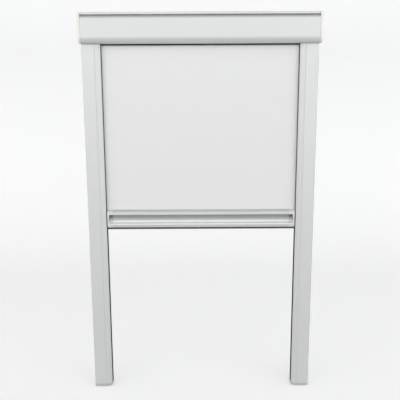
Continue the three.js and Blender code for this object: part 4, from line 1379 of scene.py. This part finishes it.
def bristles(roots, aim, side, lengths, width):
    """Fibres from roots (n, 3) in millimetres, towards aim, leaning at random by about FIBRE_LEAN
    of their length. The corners of the triangle at a root are one width from its middle."""
    count = len(roots)
    lean = random.normal(0, FIBRE_LEAN, (count, 2))
    other = np.cross(aim, side)
    way = unit(aim + lean[:, :1] * side + lean[:, 1:] * other)
    tips = roots + way * lengths[:, None]
    t = random.uniform(0, 2 * math.pi, count)[:, None] + np.array([0, 2, 4]) * math.pi / 3
    ring = width * (np.cos(t)[..., None] * side + np.sin(t)[..., None] * other)
    points = np.concatenate([roots[:, None] + ring, tips[:, None]], axis=1) * MM
    pyramid = np.array([[0, 1, 3], [1, 2, 3], [2, 0, 3], [2, 1, 0]])
    faces = 4 * np.arange(count)[:, None, None] + pyramid
    return mesh_piece("fibres", points, faces.reshape(-1, 3).tolist())


def block(low, high):
    """A plain box between two corners in millimetres. Point 4i + 2j + k is at (i, j, k)."""
    share = np.stack(np.meshgrid([0, 1], [0, 1], [0, 1], indexing="ij"), axis=-1).reshape(8, 3)
    faces = [[0, 1, 3, 2], [4, 6, 7, 5], [0, 4, 5, 1], [2, 3, 7, 6], [0, 2, 6, 4], [1, 5, 7, 3]]
    return mesh_piece("backing", (low + share * (high - low)) * MM, faces, flat_faces=len(faces))


def brush(name, low, high, aim, rows, pitch, width, shortest):
    """A backing on the side that the fibres leave from, and rows of fibres through the box."""
    low, high = np.array(low) / MM, np.array(high) / MM
    depth_axis = int(np.argmax(np.abs(aim)))
    run_axis = int(np.argmax(high - low))
    row_axis = 3 - depth_axis - run_axis
    forwards = aim[depth_axis] > 0
    face = low[depth_axis] + BACKING if forwards else high[depth_axis] - BACKING
    along = np.arange(low[run_axis] + RUN_MARGIN, high[run_axis] - RUN_MARGIN, pitch)
    rank = np.linspace(low[row_axis] + ROW_MARGIN, high[row_axis] - ROW_MARGIN, rows)
    run, row = (grid.ravel() for grid in np.meshgrid(along, rank, indexing="ij"))
    roots = np.empty((run.size, 3))
    roots[:, run_axis] = run + random.uniform(-RUN_SHIFT, RUN_SHIFT, run.size) * pitch
    roots[:, row_axis] = row + random.uniform(-ROW_SHIFT, ROW_SHIFT, run.size)
    roots[:, depth_axis] = face
    longest = (high - low)[depth_axis] - BACKING
    lengths = longest * random.uniform(shortest, LONGEST, run.size)
    made = bristles(roots, np.array(aim, float), np.eye(3)[row_axis], lengths, width)
    (high if forwards else low)[depth_axis] = face
    return merged(name, block(low, high), made)


seal_low, seal_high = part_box("headbox_seal")
seal_low = Vector((seal_low.x, seal_low.y, seal_low.z - FIBRES_PAST))
exit_brush = brush("headbox_brush", seal_low, seal_high, (0, 0, -1), **EXIT_BRUSH)
dress(exit_brush, exit_pile, "frame", "headbox_seal")
for word in SIDES:
    for place_word, aim in (("back", (0, -1, 0)), ("front", (0, 1, 0))):
        packed = f"rail_seal_{place_word}_{word}"
        strip = brush(f"rail_brush_{place_word}_{word}", *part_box(packed), aim, **RAIL_BRUSH)
        dress(strip, pile, "frame", packed)
print("five brush seals")

# %% [markdown]
# ## The floor and the backdrop
# A studio sweep is one sheet that runs along the floor and curves up behind the object, so that no
# line shows where they meet. It is a profile again: floor, quarter circle, wall. The camera,
# mirrors and glass see it paler than it lights the object, which keeps the background white
# without more light. On the floor they see a faint glow as well, stronger behind the blind than in
# front of it.

# %% Studio sweep
SWEEP_WIDTH, SWEEP_HEIGHT = 9.0, 4.5
SWEEP_FRONT, SWEEP_BACK, SWEEP_RADIUS = -4.0, 2.2, 1.4
SWEEP_STEPS = 24
STAGE_LIT = (0.56, 0.56, 0.56, 1)
STAGE_PALE = (0.98, 0.98, 0.98, 1)
STAGE_ROUGH, STAGE_SHINE = 0.9, 0.1
WALL_FROM = 0.75
FLOOR_GLOW, FRONT_GLOW = 0.29, 0.10
GLOW_FRONT, GLOW_EDGE = -1.2, -0.1

t = np.linspace(0, math.pi / 2, SWEEP_STEPS)
curve_y = SWEEP_BACK - SWEEP_RADIUS + SWEEP_RADIUS * np.sin(t)
curve_z = SWEEP_RADIUS * (1 - np.cos(t))
y = np.concatenate([[SWEEP_FRONT], curve_y, [SWEEP_BACK]])
z = np.concatenate([[0.0], curve_z, [SWEEP_HEIGHT]])
x = np.array([-SWEEP_WIDTH / 2, SWEEP_WIDTH / 2])[:, None]
points = np.stack(np.broadcast_arrays(x, y, z), axis=-1)
index = np.arange(2 * len(y)).reshape(2, -1)
sweep = mesh_piece("studio_sweep", points, grid_faces(index.T).tolist())

stage_paper, tree, shader, coordinates = material("stage_paper")
light_path = node(tree, "ShaderNodeLightPath", {}).outputs
seen = light_path["Is Camera Ray"]
for kind in ("Is Glossy Ray", "Is Transmission Ray"):
    seen = math_node(tree, "MAXIMUM", seen, light_path[kind])
spot = parts_of(tree, coordinates)
on_floor = ranged(tree, spot["Z"], 0.0, WALL_FROM, 1.0, 0.0)
behind = ranged(tree, spot["Y"], GLOW_FRONT, GLOW_EDGE, FRONT_GLOW / FLOOR_GLOW, 1.0)
lit_floor = product(tree, on_floor, behind)
wire(tree, shader, {
    "Base Color": blend_colours(tree, seen, STAGE_LIT, STAGE_PALE),
    "Roughness": STAGE_ROUGH,
    "Specular IOR Level": STAGE_SHINE,
    "Emission Color": (1, 1, 1, 1),
    "Emission Strength": product(tree, seen, lit_floor, FLOOR_GLOW),
})
sweep.data.materials.append(stage_paper)
print("sweep", SWEEP_WIDTH, "m wide")

# %% [markdown]
# ## Light
# The blind stands in plain level light. Most of it comes from the world: a band of light round the
# horizon, brightest in front of the blind and about half as bright to the sides and behind, with a
# weaker light from above and below. It is a shade warmer on the left and cooler on the right. Two
# large softboxes left and right of the camera, at the height of the blind, add a little.

# %% Lamps
LAMP_TURN = math.radians(52)
LAMP_DISTANCE, LAMP_HEIGHT = 1.9, 0.72
LAMP_SIZE, LAMP_POWER = (1.0, 1.3), 3.0
LAMP_AIM = Vector((0, 0, 0.5))
HORIZON_LIGHT, ZENITH_LIGHT = 2.34, 0.60
BAND_HEIGHT, BAND_RISE = 0.40, 0.06
SIDE_SHARE, FRONTAL_FROM, FRONTAL_TO = 0.48, -0.97, -0.3
LEFT_TINT = (0.985, 0.985, 0.965, 1)
RIGHT_TINT = (1.03, 1.045, 1.065, 1)
TINT_SPREAD = 0.4


def softbox(name, turn):
    """A rectangular lamp on a circle round the blind, aimed at its middle."""
    light = bpy.data.lights.new(name, "AREA")
    light.shape = "RECTANGLE"
    light.size, light.size_y = LAMP_SIZE
    light.energy = LAMP_POWER
    lamp = added(name, light)
    lamp.location = (
        LAMP_DISTANCE * math.sin(turn), -LAMP_DISTANCE * math.cos(turn), LAMP_HEIGHT)
    lamp.rotation_euler = (LAMP_AIM - lamp.location).to_track_quat("-Z", "Y").to_euler()


def world_light(tree):
    """The world's strength and tint by direction. The band is e ^ -((z - rise) / height)^2, where
    z is the height of the direction."""
    sky = parts_of(tree, node(tree, "ShaderNodeTexCoord", {}).outputs["Generated"])
    above = math_node(tree, "SUBTRACT", sky["Z"], BAND_RISE)
    rise = math_node(tree, "DIVIDE", above, BAND_HEIGHT)
    band = math_node(tree, "POWER", math.e, product(tree, rise, rise, -1.0))
    added_light = product(tree, band, HORIZON_LIGHT - ZENITH_LIGHT)
    level = math_node(tree, "ADD", ZENITH_LIGHT, added_light)
    frontal = ranged(tree, sky["Y"], FRONTAL_FROM, FRONTAL_TO, 1.0, SIDE_SHARE)
    to_right = ranged(tree, sky["X"], -TINT_SPREAD, TINT_SPREAD, 0.0, 1.0)
    tint = blend_colours(tree, to_right, LEFT_TINT, RIGHT_TINT)
    return {"Strength": product(tree, level, frontal), "Color": tint}


for word, side in SIDES.items():
    softbox(f"softbox_{word}", side * LAMP_TURN)
world = bpy.data.worlds.new("studio")
bpy.context.scene.world = world
world.use_nodes = True
surround = world.node_tree.nodes["Background"].inputs
wire(world.node_tree, surround, world_light(world.node_tree))
print("two softboxes,", LAMP_POWER, "W each, and the world")
